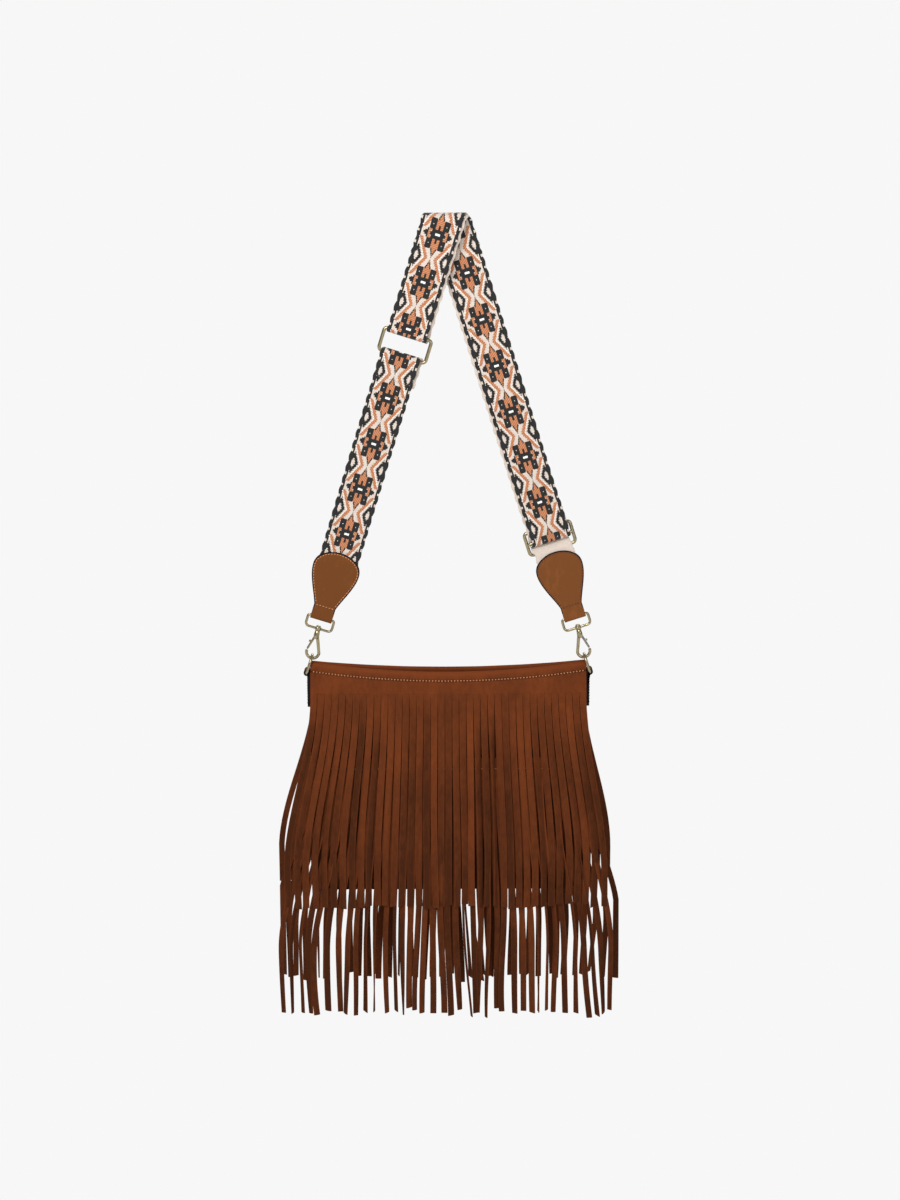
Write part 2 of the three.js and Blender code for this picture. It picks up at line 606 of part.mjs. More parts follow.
// A thick sheet on a grid: place(i, j, layer) gives a corner on face 0 or 1, and only the cells
// for which keep(i, j) is true are made, so that slits stay open.
function sheet(columns, rows, place, keep = () => true) {
  const points = [];
  const faces = [];
  const index = (i, j, layer) => (layer * (rows + 1) + j) * (columns + 1) + i;
  [0, 1].forEach((layer) => {
    for (let j = 0; j <= rows; j++) {
      for (let i = 0; i <= columns; i++) points.push(place(i, j, layer));
    }
  });
  const kept = (i, j) => i >= 0 && j >= 0 && i < columns && j < rows && keep(i, j);
  const quad = (a, b, c, d) => faces.push(a, b, c, a, c, d);
  for (let j = 0; j < rows; j++) {
    for (let i = 0; i < columns; i++) {
      if (!kept(i, j)) continue;
      const ring = [[i, j], [i + 1, j], [i + 1, j + 1], [i, j + 1]];
      const beside = [kept(i, j - 1), kept(i + 1, j), kept(i, j + 1), kept(i - 1, j)];
      const [a, b, c, d] = ring.map(([x, y]) => index(x, y, 0));
      const [e, f, g, h] = ring.map(([x, y]) => index(x, y, 1));
      quad(a, b, c, d);
      quad(h, g, f, e);
      [[a, b, f, e], [b, c, g, f], [c, d, h, g], [d, a, e, h]].forEach((side, k) => {
        if (!beside[k]) quad(side[3], side[2], side[1], side[0]);
      });
    }
  }
  const geometry = new THREE.BufferGeometry().setFromPoints(points);
  geometry.setIndex(faces);
  const whole = mergeVertices(geometry.toNonIndexed(), 1e-4);
  return facingOut(whole);
}

const PANEL_COLUMNS = 14;
const PANEL_ROWS = 8;

function panel(face) {
  return sheet(PANEL_COLUMNS, PANEL_ROWS, (i, j, layer) => {
    const x0 = -1 + (2 * i) / PANEL_COLUMNS;
    const down = j / PANEL_ROWS;
    const z = THREE.MathUtils.lerp(mouthZ(x0 * BAG_HALF_WIDTH), BASE_Z, down);
    const x = x0 * halfWidth(z);
    return new THREE.Vector3(x, face * (halfDepth(x, z) - layer * SUEDE), z);
  });
}

// The gusset runs down one end, along the base and up the other end, between the two panels.
function gusset() {
  const corner = BASE_CORNER;
  const topZ = MOUTH_CORNER_Z - 1;
  const path = new THREE.Path();
  path.moveTo(-BAG_HALF_WIDTH, topZ);
  for (let k = 1; k <= 5; k++) {
    path.lineTo(-BAG_HALF_WIDTH, THREE.MathUtils.lerp(topZ, BASE_Z + corner, k / 5));
  }
  path.absarc(-BAG_HALF_WIDTH + corner, BASE_Z + corner, corner, Math.PI, 1.5 * Math.PI);
  path.lineTo(BAG_HALF_WIDTH - corner, BASE_Z);
  path.absarc(BAG_HALF_WIDTH - corner, BASE_Z + corner, corner, 1.5 * Math.PI, 2 * Math.PI);
  for (let k = 4; k >= 0; k--) {
    path.lineTo(BAG_HALF_WIDTH, THREE.MathUtils.lerp(topZ, BASE_Z + corner, k / 5));
  }
  const line = path.getPoints(6);
  const inside = new THREE.Vector2(0, 0.5 * (topZ + BASE_Z));
  return sheet(line.length - 1, 2, (i, j, layer) => {
    const before = line[Math.max(i - 1, 0)];
    const after = line[Math.min(i + 1, line.length - 1)];
    const way = new THREE.Vector2().subVectors(after, before).normalize();
    const inward = new THREE.Vector2(-way.y, way.x).multiplyScalar(layer * SUEDE);
    const p = line[i].clone().add(inward);
    const half = halfDepth(line[i].x, line[i].y) - SUEDE - CLEARANCE;
    return new THREE.Vector3(p.x, (j - 1) * half, p.y);
  });
}

// The lining is a loose inner bag that is sewn in round the mouth.
const LINING_COLUMNS = 12;
const LINING_ROWS = 7;
const LINING_DROP = 6; // the seam that it hangs from lies below the mouth's edge
const LINING_SLACK = 2;
const LINING_END_GAP = 7;

function lining() {
  const inset = SUEDE + CLEARANCE;
  const around = [];
  for (let i = 0; i <= LINING_COLUMNS; i++) around.push([-1 + (2 * i) / LINING_COLUMNS, -1]);
  for (let i = LINING_COLUMNS; i >= 0; i--) around.push([-1 + (2 * i) / LINING_COLUMNS, 1]);
  const skin = (wall) => {
    const gap = inset + wall;
    const points = [];
    for (let j = 0; j <= LINING_ROWS; j++) {
      around.forEach(([x0, face]) => {
        const top = mouthZ(x0 * BAG_HALF_WIDTH) - LINING_DROP;
        const z = THREE.MathUtils.lerp(top, BASE_Z + gap + LINING_SLACK, j / LINING_ROWS);
        const x = x0 * (halfWidth(z) - gap - LINING_END_GAP);
        points.push(new THREE.Vector3(x, face * (halfDepth(x, z) - gap - 0.2), z));
      });
    }
    return points;
  };
  const outer = skin(0);
  const points = [...outer, ...skin(LINING_THICK)];
  const perRing = around.length;
  const shift = outer.length;
  const faces = [];
  const quad = (a, b, c, d) => faces.push(a, b, c, a, c, d);
  for (let k = 0; k < perRing; k++) {
    const next = (k + 1) % perRing;
    for (let j = 0; j < LINING_ROWS; j++) {
      const [a, b] = [j * perRing + k, j * perRing + next];
      quad(a, a + perRing, b + perRing, b);
      quad(b + shift, b + perRing + shift, a + perRing + shift, a + shift);
    }
    quad(k, next, next + shift, k + shift);
  }
  const low = LINING_ROWS * perRing;
  for (let i = 0; i < LINING_COLUMNS; i++) {
    const [a, b] = [low + i, low + i + 1];
    const [c, d] = [low + perRing - 2 - i, low + perRing - 1 - i];
    quad(a, d, c, b);
    quad(a + shift, b + shift, c + shift, d + shift);
  }
  const geometry = new THREE.BufferGeometry().setFromPoints(points);
  geometry.setIndex(faces);
  return facingOut(geometry);
}

// A row of fringe: a band sewn to the panel, and strips that hang from it. Depth counts the layers
// of suede between it and the panel.
const STRIP_ROWS = 3;
const FRINGE_SPREAD = 60; // the upper row lifts off the panel over this length

function fringe(face, topOf, bandZ, endZ, depth) {
  const pitch = 1 / STRIPS;
  const slit = SLIT / (2 * BAG_HALF_WIDTH);
  const columns = 2 * STRIPS - 1;
  const share = (i) => Math.floor(i / 2) * pitch + (i % 2 ? pitch - slit : 0);
  return sheet(
    columns,
    1 + STRIP_ROWS,
    (i, j, layer) => {
      const x0 = (2 * share(i) - 1 + slit) * BAG_HALF_WIDTH;
      const z = j === 0 ? topOf(x0) : THREE.MathUtils.lerp(bandZ, endZ, (j - 1) / STRIP_ROWS);
      const fan = 1 + FLARE * THREE.MathUtils.clamp((bandZ - z) / (bandZ - FRONT_LOWER_END_Z), 0, 1);
      const lift = THREE.MathUtils.clamp((mouthZ(x0) - z) / FRINGE_SPREAD, 0, 1);
      const out = halfDepth(x0, z) + 2 * CLEARANCE + lift * (FRINGE_GAP + depth * FRINGE_PITCH);
      return new THREE.Vector3(x0 * fan, face * (out + layer * SUEDE), z);
    },
    (i, j) => j === 0 || i % 2 === 0,
  );
}

const FACES = { front: -1, back: 1 };
const LOWER_END = { front: FRONT_LOWER_END_Z, back: BACK_LOWER_END_Z };
Object.entries(FACES).forEach(([name, face]) => {
  addPiece(root, name + "_panel", panel(face), SUEDE_LOOK);
  const upper = fringe(face, mouthZ, UPPER_BAND_Z, UPPER_END_Z, 1);
  addPiece(root, name + "_upper_fringe", upper, SUEDE_LOOK);
  const lower = fringe(face, () => LOWER_TOP_Z, LOWER_BAND_Z, LOWER_END[name], 0);
  addPiece(root, name + "_lower_fringe", lower, SUEDE_LOOK);
});
addPiece(root, "gusset", gusset(), SUEDE_LOOK);
addPiece(root, "lining", lining(), LINING_LOOK);

// The snap's two halves face each other across the mouth.
const snapFace = halfDepth(0, SNAP_Z) - SUEDE - LINING_THICK - 2.6;
const snapPieces = { snap_socket: 1, snap_stud: -1 };
Object.entries(snapPieces).forEach(([name, face]) => {
  const middle = new THREE.Vector3(0, face * (snapFace - SNAP_THICK / 2), SNAP_Z);
  const disc = cylinder(SNAP_RADIUS, SNAP_THICK, middle, ALONG_Y, 28);
  const core = new THREE.Vector3(0, face * (snapFace - SNAP_THICK), SNAP_Z);
  const nub = cylinder(2.4, 2 * 1.6, core, ALONG_Y, 16);
  const half = face < 0 ? disc.add(nub) : disc.subtract(nub);
  addPiece(root, name, geometryOf(half), GOLD);
});

root.updateMatrixWorld(true);
export default root;
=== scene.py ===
# A fringed suede shoulder bag that hangs by its woven strap. Shapes are built in millimetres, in
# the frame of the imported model, and become metres where a piece is made.
import math
import random

import bmesh
import bpy
from mathutils import Matrix, Vector


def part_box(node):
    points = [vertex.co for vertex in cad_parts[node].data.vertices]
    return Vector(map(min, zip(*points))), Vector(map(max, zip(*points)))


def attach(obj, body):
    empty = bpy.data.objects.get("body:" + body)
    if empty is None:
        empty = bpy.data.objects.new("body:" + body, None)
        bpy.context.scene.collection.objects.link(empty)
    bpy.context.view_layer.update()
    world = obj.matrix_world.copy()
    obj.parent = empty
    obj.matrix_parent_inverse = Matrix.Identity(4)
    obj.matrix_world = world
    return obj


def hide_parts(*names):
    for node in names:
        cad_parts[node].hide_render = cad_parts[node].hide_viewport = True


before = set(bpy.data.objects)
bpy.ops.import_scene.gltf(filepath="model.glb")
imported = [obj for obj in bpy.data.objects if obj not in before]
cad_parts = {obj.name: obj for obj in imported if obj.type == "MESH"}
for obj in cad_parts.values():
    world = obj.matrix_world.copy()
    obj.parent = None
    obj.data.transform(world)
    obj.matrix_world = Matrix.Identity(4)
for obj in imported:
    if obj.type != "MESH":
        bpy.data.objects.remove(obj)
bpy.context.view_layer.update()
random.seed(39)


# --- Studio -----------------------------------------------------------------------------------
# The bag hangs in front of a pale sweep, in soft light from above and in front, and the camera
# looks slightly down on it.
FOCUS = Vector((0.0023, 0, -0.428))
CAMERA_DISTANCE = 2.3
CAMERA_ELEVATION = math.radians(12)
CAMERA_ROLL = math.radians(-0.25)
LENS = 60.7
FLOOR_Z = -1.25
FLOOR_REACH = 30


def tone(red, green, blue):
    """A colour given as it looks on a screen, as the linear colour that a shader takes."""
    steps = [part / 255 for part in (red, green, blue)]
    linear = [s / 12.92 if s < 0.04 else ((s + 0.055) / 1.055) ** 2.4 for s in steps]
    return (*linear, 1.0)


PALE = tone(247, 247, 247)


camera = bpy.data.objects.new("camera", bpy.data.cameras.new("camera"))
bpy.context.scene.collection.objects.link(camera)
bpy.context.scene.camera = camera
camera.data.sensor_fit = "VERTICAL"
camera.data.sensor_height = 36
camera.data.lens = LENS
toward_camera = Vector((0, -math.cos(CAMERA_ELEVATION), math.sin(CAMERA_ELEVATION)))
camera.location = FOCUS + CAMERA_DISTANCE * toward_camera
tilt = Matrix.Rotation(math.pi / 2 - CAMERA_ELEVATION, 4, "X")
camera.rotation_euler = (tilt @ Matrix.Rotation(CAMERA_ROLL, 4, "Z")).to_euler()
bpy.context.scene.view_settings.view_transform = "Standard"


def soft_light(name, place, size, power):
    light = bpy.data.lights.new(name, "AREA")
    light.shape = "DISK"
    light.size = size
    light.energy = power
    lamp = bpy.data.objects.new(name, light)
    lamp.location = place
    lamp.rotation_euler = (FOCUS - Vector(place)).to_track_quat("-Z", "Y").to_euler()
    bpy.context.scene.collection.objects.link(lamp)


soft_light("key_light", (-0.5, -1.25, 0.6), 1.0, 19)
soft_light("fill_light", (1.2, -1.6, 0.2), 1.0, 7)
soft_light("back_light", (0.3, 1.9, 0.8), 1.6, 16)

world = bpy.data.worlds.new("studio_air")
bpy.context.scene.world = world
world.use_nodes = True
nodes = world.node_tree.nodes
links = world.node_tree.links
seen_air = nodes["Background"]
seen_air.inputs["Color"].default_value = PALE
lighting_air = nodes.new("ShaderNodeBackground")
lighting_air.inputs["Strength"].default_value = 0.42
sky = nodes.new("ShaderNodeValToRGB")
sky.color_ramp.elements[0].position = 0.2
sky.color_ramp.elements[0].color = (0.16, 0.155, 0.15, 1)
sky.color_ramp.elements[1].position = 0.75
sky.color_ramp.elements[1].color = (1, 1, 1, 1)
height_in_sky = nodes.new("ShaderNodeMapRange")
height_in_sky.inputs["From Min"].default_value = -1
split = nodes.new("ShaderNodeSeparateXYZ")
links.new(nodes.new("ShaderNodeTexCoord").outputs["Generated"], split.inputs[0])
links.new(split.outputs["Z"], height_in_sky.inputs["Value"])
links.new(height_in_sky.outputs[0], sky.inputs[0])
links.new(sky.outputs[0], lighting_air.inputs["Color"])
which_air = nodes.new("ShaderNodeMixShader")
links.new(nodes.new("ShaderNodeLightPath").outputs["Is Camera Ray"], which_air.inputs[0])
links.new(lighting_air.outputs[0], which_air.inputs[1])
links.new(seen_air.outputs[0], which_air.inputs[2])
links.new(which_air.outputs[0], nodes["World Output"].inputs["Surface"])

floor_mesh = bpy.data.meshes.new("studio_floor")
quarters = ((-1, -1), (1, -1), (1, 1), (-1, 1))
corners = [(x * FLOOR_REACH, y * FLOOR_REACH, FLOOR_Z) for x, y in quarters]
floor_mesh.from_pydata(corners, [], [(0, 1, 2, 3)])
floor = bpy.data.objects.new("studio_floor", floor_mesh)
bpy.context.scene.collection.objects.link(floor)
floor_paint = bpy.data.materials.new("pale_floor")
floor_paint.use_nodes = True
floor_shader = floor_paint.node_tree.nodes["Principled BSDF"]
floor_shader.inputs["Base Color"].default_value = (0, 0, 0, 1)
floor_shader.inputs["Specular IOR Level"].default_value = 0
floor_shader.inputs["Emission Color"].default_value = PALE
floor_shader.inputs["Emission Strength"].default_value = 1
floor_mesh.materials.append(floor_paint)


# --- Strap webbing ----------------------------------------------------------------------------
# Two lengths of jacquard cotton webbing. The long one runs from the right pad through the slider,
# over the rod, round the ring and back; the short one hangs from the ring and ends in the left pad.
ROD_RADIUS = 5
WEB_WIDTH = 46
WEB_THICK = 2.2
CLEARANCE = 0.3
LAYER_PITCH = WEB_THICK + CLEARANCE
LAYER_SHIFT = 1.5  # how far the two plies of a leg lie off its middle, to either side
LEG_ANGLE = math.radians(17.6)
RING_AT = 140.4  # places down a leg are measured from where it leaves the rod
SLIDER_AT = 370
LOOP_BAR_AT = 464.4
LOOP_HEIGHT = 13.5
WEB_END_AT = 414
TAIL = 31
WIRE_RADIUS = 2
BAR_PITCH = 13
CENTRE_BAR_RADIUS = 1.75
CENTRE_BAR_RISE = 2
SETTLE = 45  # the length in which a ply comes off a bar and lies flat
CROWN_REACH = 24  # over this length the rows turn from the rod's way to square across a leg
CROWN_RADIUS = ROD_RADIUS + WEB_THICK + CLEARANCE / 2
LOWER_BAR_AT = LOOP_BAR_AT + LOOP_HEIGHT
LEG_LEAN = math.asin(CROWN_RADIUS / (LOWER_BAR_AT * math.cos(LEG_ANGLE)))
WRAP = math.pi / 2 + LEG_LEAN
LEG_START = CROWN_RADIUS * WRAP / math.cos(LEG_ANGLE)
LEFT = -1
RIGHT = 1
INNER = -LAYER_PITCH / 2
OUTER = LAYER_PITCH / 2
ON_WIRE = WIRE_RADIUS + CLEARANCE + 0.1 + WEB_THICK / 2
ON_CENTRE_BAR = CENTRE_BAR_RADIUS + CLEARANCE + 0.1 + WEB_THICK / 2
FRAME_N = ON_WIRE
CENTRE_N = FRAME_N - CENTRE_BAR_RISE
MOTIF_PERIOD = 53.6
LEFT_MOTIF_AT = 9.6  # the middle of a motif on each visible ply, from where the leg starts
RIGHT_MOTIF_AT = 10.8
SHORT_MOTIF_AT = 202.2
WEAVE_STEP = 2.5
LOBE_FROM = 18  # the scalloped edge lies beyond this, and draws in by LOBE_DEPTH between lobes
LOBE_DEPTH = 1.2
WEFT_STEP = 0.75  # the weave's own measures: threads, cords, picks, twill and twisted yarn
WARP_STEP = 0.8
CORD_PITCH = 1.5
PICK_PITCH = 1.25
TWILL_PITCH = 1.9
ROPE_PITCH = 2.68


def limit(value, low, high):
    return min(max(value, low), high)


def blend(first, second, share):
    return first + (second - first) * share


def strap_point(s, u, n):
    """The strap's surface: s along it from the crown, u across it and n out from the rod."""
    around = s * math.cos(LEG_ANGLE) - u * math.sin(LEG_ANGLE)
    side = math.copysign(1, around)
    angle = min(abs(around) / CROWN_RADIUS, WRAP)
    straight = abs(around) - angle * CROWN_RADIUS
    return Vector((
        s * math.sin(LEG_ANGLE) + u * math.cos(LEG_ANGLE),
        side * ((CROWN_RADIUS + n) * math.sin(angle) + straight * math.cos(angle)),
        -ROD_RADIUS + (CROWN_RADIUS + n) * math.cos(angle) - straight * math.sin(angle),
    ))


def leg_frame(side, at):
    """A place on a leg: x across to the right, y up the leg and z towards the front."""
    s = side * (LEG_START + at)
    here = strap_point(s, 0, 0)
    across = (strap_point(s, 1, 0) - here).normalized()
    up = (strap_point(s - side, 0, 0) - here).normalized()
    turn = Matrix((across, up, across.cross(up))).transposed().to_4x4()
    return Matrix.Translation(here) @ turn


class Shape:
    """Points in millimetres with faces, and named marks: a number at every point."""

    def __init__(self):
        self.points = []
        self.faces = []
        self.marks = {}

    def skin(self, rings, along=False, **marks):
        """Joins rings of points, and the last to the first where along is true.

        Each mark gives a number for a ring, or for each of its points.
        """
        first = len(self.points)
        size = len(rings[0])
        for ring in rings:
            self.points.extend(ring)
        for name, values in marks.items():
            row = self.marks.setdefault(name, [])
            row.extend([0.0] * (first - len(row)))
            for value in values:
                row.extend(value if isinstance(value, (list, tuple)) else [value] * size)
        for i in range(len(rings) if along else len(rings) - 1):
            for k in range(size):
                a = first + i * size + k
                b = first + i * size + (k + 1) % size
                c = first + (i + 1) % len(rings) * size + (k + 1) % size
                d = first + (i + 1) % len(rings) * size + k
                self.faces.append((a, b, c, d))
        if not along:
            last = first + (len(rings) - 1) * size
            self.faces.append(tuple(range(first + size - 1, first - 1, -1)))
            self.faces.append(tuple(range(last, last + size)))
        return self

    def join(self, other):
        """Adds another shape's points and faces, without its marks."""
        first = len(self.points)
        self.points.extend(other.points)
        self.faces.extend(tuple(first + corner for corner in face) for face in other.faces)
        return self

    def placed(self, matrix):
        self.points = [matrix @ Vector(p) for p in self.points]
        return self

    def piece(self, name, finish, body, slot, replaced=(), crease=40):
        """Makes the Blender object, which rides on a body and stands for CAD nodes."""
        mesh = bpy.data.meshes.new(name)
        mesh.from_pydata([Vector(p) * 0.001 for p in self.points], [], self.faces)
        for mark, values in self.marks.items():
            values = values + [0.0] * (len(self.points) - len(values))
            mesh.attributes.new(mark, "FLOAT", "POINT").data.foreach_set("value", values)
        tidy = bmesh.new()
        tidy.from_mesh(mesh)
        bmesh.ops.recalc_face_normals(tidy, faces=tidy.faces)
        tidy.to_mesh(mesh)
        tidy.free()
        mesh.shade_smooth()
        mesh.set_sharp_from_angle(angle=math.radians(crease))
        mesh.materials.append(finish.material)
        made = bpy.data.objects.new(name, mesh)
        bpy.context.scene.collection.objects.link(made)
        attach(made, body)
        if replaced:
            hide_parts(*replaced)
        return made


class Field:
    """A node's output. Python's operators on it add Math nodes."""

    def __init__(self, finish, socket):
        self.finish = finish
        self.socket = socket

    def math(self, operation, *values):
        sockets = dict(enumerate(values))
        return self.finish.add("ShaderNodeMath", {"operation": operation}, sockets)

    def __add__(self, other):
        return self.math("ADD", self, other)

    __radd__ = __add__

    def __mul__(self, other):
        return self.math("MULTIPLY", self, other)

    __rmul__ = __mul__

    def __sub__(self, other):
        return self.math("SUBTRACT", self, other)

    def __rsub__(self, other):
        return self.math("SUBTRACT", other, self)

    def __truediv__(self, other):
        return self.math("DIVIDE", self, other)

    def __mod__(self, other):
        return self.math("FLOORED_MODULO", self, other)

    def __lt__(self, other):
        return self.math("LESS_THAN", self, other)

    def __gt__(self, other):
        return self.math("GREATER_THAN", self, other)

    def __abs__(self):
        return self.math("ABSOLUTE", self)

    def sine(self):
        return self.math("SINE", self)

    def stepped(self, step):
        """The nearest whole number of steps, as threads place a woven edge."""
        return self.math("ROUND", self / step) * step


class Finish:
    """A material made of nodes."""

    def __init__(self, name, roughness, metallic=0.0, sheen=0.0):
        self.material = bpy.data.materials.new(name)
        self.material.use_nodes = True
        self.tree = self.material.node_tree
        self.shader = self.tree.nodes["Principled BSDF"]
        self.shader.inputs["Roughness"].default_value = roughness
        self.shader.inputs["Metallic"].default_value = metallic
        self.shader.inputs["Sheen Weight"].default_value = sheen
        self.shader.inputs["Sheen Roughness"].default_value = 0.6

    def add(self, kind, settings, sockets, output=0):
        """A node of a kind: its settings are set first, then its sockets by name or by number."""
        node = self.tree.nodes.new(kind)
        for name, value in settings.items():
            setattr(node, name, value)
        for key, value in sockets.items():
            self.feed(node.inputs[key], value)
        return Field(self, node.outputs[output])

    def feed(self, socket, value):
        if isinstance(value, Field):
            self.tree.links.new(value.socket, socket)
        else:
            socket.default_value = value

    def set(self, **fed):
        """Feeds the shader's sockets: base_color=... feeds Base Color."""
        for name, value in fed.items():
            self.feed(self.shader.inputs[name.replace("_", " ").title()], value)

    def mark(self, name):
        settings = {"attribute_type": "GEOMETRY", "attribute_name": name}
        return self.add("ShaderNodeAttribute", settings, {}, output="Fac")

    def noise(self, scale, detail, stretch=(1, 1, 1)):
        """Cloudy noise; scale counts its lumps in a metre."""
        place = self.add("ShaderNodeTexCoord", {}, {}, output="Object")
        place = self.add("ShaderNodeMapping", {}, {"Vector": place, "Scale": stretch})
        sockets = {"Vector": place, "Scale": scale, "Detail": detail}
        return self.add("ShaderNodeTexNoise", {}, sockets)

    def paint(self, under, over, mask):
        """One colour laid over another where the mask is 1."""
        sockets = {0: mask, 6: under, 7: over}  # the mix node's sockets for colours
        return self.add("ShaderNodeMix", {"data_type": "RGBA"}, sockets, output=2)

    def bump(self, height, depth):
        """Relief from a height of 0 to 1 that is depth millimetres deep."""
        sockets = {"Height": height, "Distance": depth * 0.001}
        self.feed(self.shader.inputs["Normal"], self.add("ShaderNodeBump", {}, sockets))


def within(value, low, high):
    return (value > low) * (value < high)


def largest(*masks):
    """The union of masks."""
    first, *others = masks
    for mask in others:
        first = first.math("MAXIMUM", first, mask)
    return first


def motif(across, along):
    """The band's figure, in masks of orange, black and white yarn.

    The figure is even about the webbing's middle, where a is 0, and about the middle of each
    motif, where v is 0. Its edges step from thread to thread.
    """
    a = abs(across.stepped(WEFT_STEP))
    y = along.stepped(WARP_STEP)
    half = MOTIF_PERIOD / 2
    v = abs((y + half) % MOTIF_PERIOD - half)
    wave = abs(y % (half / 2) - half / 4)
    bead = along % ROPE_PITCH
    block_a = a - 7.4
    block_v = v - 10.6
    chevron = a - 16.4 + (v - 6.1) * 0.524
    diamond = abs(a - 16.6) / 6.4 + (half - v) / 13.5

    orange = largest(
        within(a, 4.9, 11.2) * within(v, 2.7, 5.1),
        within(a, 8.7, 11.2) * (v < 5.1),
        (a < 4.2) * within(v, 4.8, 16.0),
        (abs(chevron) < 1.6 + (bead < 1.4) * 0.7) * (v > 5.2),
    )
    black = largest(
        (a < 6.8) * (v < 4.9),
        (a < 8.7) * (v < 2.1),
        within(a, 11.0, 15.8) * (v < (5.4 - (a - 11.0) * 0.9).stepped(1.6)),
        (abs(block_a) < 3.6) * (abs(block_v) < 5.5) * (abs(block_a) + abs(block_v) < 8.3),
        (a < 1.0) * within(v, 4.0, 10.2),
        (a < (26.0 - v) * 0.36) * (v > 15.6) * (v < 26.0),
        within(diamond + (bead < 1.3) * 0.09, 0.46, 1.02) * (v > 12.5),
        within(a, 18.5, 20.7),
        (a > 18.5) * (wave < 5.2),
    )
    white = largest(
        (a < 2.4) * (v < 1.1),
        (block_a * block_a + block_v * block_v) < 0.22,
        within(chevron, 1.9, 3.0) * (bead < 1.3) * (v > 6),
    )
    arrow_tail = (a < (23.6 - v) * 0.26) * (v > 15.0)
    return largest(orange * (1 - black), arrow_tail), black, white, largest(orange, black)


def woven_cotton():
    """Jacquard webbing: weft and warp are places in millimetres, face is 1 on the figured side."""
    web = Finish("jacquard_webbing", 0.86, sheen=0.12)
    across = web.mark("weft")
    along = web.mark("warp")
    face = web.mark("face") > 0.5
    orange_yarn, black_yarn, white_yarn, raised = motif(across, along)

    strand = web.noise(700, 3)
    twill = ((across + along * 0.55) * (math.tau / TWILL_PITCH)).sine() * 0.5 + 0.5
    rope = ((along + across * 0.8) * (math.tau / ROPE_PITCH)).sine() * 0.5 + 0.5
    ecru = web.paint(tone(200, 184, 170), tone(238, 227, 216), strand * 1.2 - 0.1)
    # Darker in the twill's grooves: painted shade.
    ecru = web.paint(ecru, tone(190, 172, 158), (1 - twill) * 0.45)
    # The orange yarn goes lighter and darker along the twist of its cord: painted shade between the
    # turns.
    orange = web.paint(tone(160, 92, 54), tone(212, 144, 100), strand * 0.3 + rope * 0.8 - 0.1)
    black = web.paint(tone(5, 5, 5), tone(30, 28, 27), strand * strand * 1.2)
    colour = web.paint(ecru, black, black_yarn * face)
    colour = web.paint(colour, orange, orange_yarn * face)
    colour = web.paint(colour, tone(250, 247, 242), white_yarn * face)
    web.set(base_color=colour)

    warp_cord = (across * (math.pi / CORD_PITCH)).sine()
    pick = abs((along * (math.pi / PICK_PITCH) + warp_cord * 0.6).sine())
    web.bump(abs(warp_cord) * 0.35 + pick * 0.45 + raised * face * 0.5 + twill * 0.25, 0.32)
    return web


webbing_finish = woven_cotton()


def stop(side, at, n, radius=0.0):
    return Vector((side * (LEG_START + at), n)), radius


def pulled_tight(stops):
    """The path of a webbing round bars, as places, outward directions and distances along it."""
    headings = []
    for (here, radius), (after, next_radius) in zip(stops, stops[1:]):
        gap = after - here
        lean = math.asin((next_radius - radius) / gap.length)
        headings.append(math.atan2(gap.y, gap.x) - lean)
    points = []
    for i, (here, radius) in enumerate(stops):
        arriving = headings[max(i - 1, 0)]
        leaving = headings[min(i, len(headings) - 1)]
        most = math.tau - 0.5 if radius > 0 else 0.5
        turn = math.fmod(leaving - arriving, math.tau)
        if turn > most:
            turn -= math.tau
        if turn < most - math.tau:
            turn += math.tau
        steps = math.ceil(abs(turn) / math.radians(12)) if radius else 0
        for k in range(steps + 1):
            heading = arriving + (turn * k / steps if steps else turn / 2)
            out = Vector((math.sin(heading), -math.cos(heading)))
            points.append((here + out * radius, out))
    stations = []
    run = 0.0
    for (here, out), (after, next_out) in zip(points, points[1:]):
        gap = (after - here).length
        steps = max(1, math.ceil(gap / WEAVE_STEP))
        for k in range(steps):
            share = k / steps
            facing = out.lerp(next_out, share).normalized()
            stations.append((here.lerp(after, share), facing, run + gap * share))
        run += gap
    stations.append((*points[-1], run))
    return stations


def webbing(name, stops, figured, weave, replaced):
    """A webbing with rounded selvedges; figured is the face that shows the motif."""
    stations = pulled_tight(stops)
    half = WEB_WIDTH / 2
    columns = 24
    selvedge = [(half - 0.1, 0.55), (half, 0), (half - 0.1, -0.55)]
    section = [(blend(-half + 0.5, half - 0.5, k / columns), 1) for k in range(columns + 1)]
    section += selvedge + [(-u, -1) for u, _ in section]
    section += [(-u, -level) for u, level in selvedge]
    rings, across, along, face = [], [], [], []
    for i, (at, out, run) in enumerate(stations):
        before = stations[max(i - 1, 0)][0]
        after = stations[min(i + 1, len(stations) - 1)][0]
        way = math.copysign(1, after.x - before.x)
        shift = -LAYER_SHIFT * math.tanh(at.y)
        squared = limit((2.5 * CROWN_REACH - abs(at.x)) / CROWN_REACH, 0, 1)
        ring, places = [], []
        scallop = 0.5 + 0.5 * math.cos(math.tau * weave(run) / (MOTIF_PERIOD / 4))
        for edge, level in section:
            lobe = max(abs(edge) - LOBE_FROM, 0) / (half - LOBE_FROM)
            edge -= math.copysign(LOBE_DEPTH * scallop * lobe, edge)
            u = edge + shift
            p = at + out * (level * WEB_THICK / 2)
            sheared = squared * u * math.tan(LEG_ANGLE)
            ring.append(strap_point(p.x + sheared, u, p.y))
            places.append(weave(run) + way * sheared)
        rings.append(ring)
        across.append([edge for edge, _ in section])
        along.append(places)
        face.append([1.0 if level * figured > 0 else 0.0 for _, level in section])
    shape = Shape().skin(rings, weft=across, warp=along, face=face)
    return shape.piece(name, webbing_finish, "strap", "webbing", replaced, crease=60)


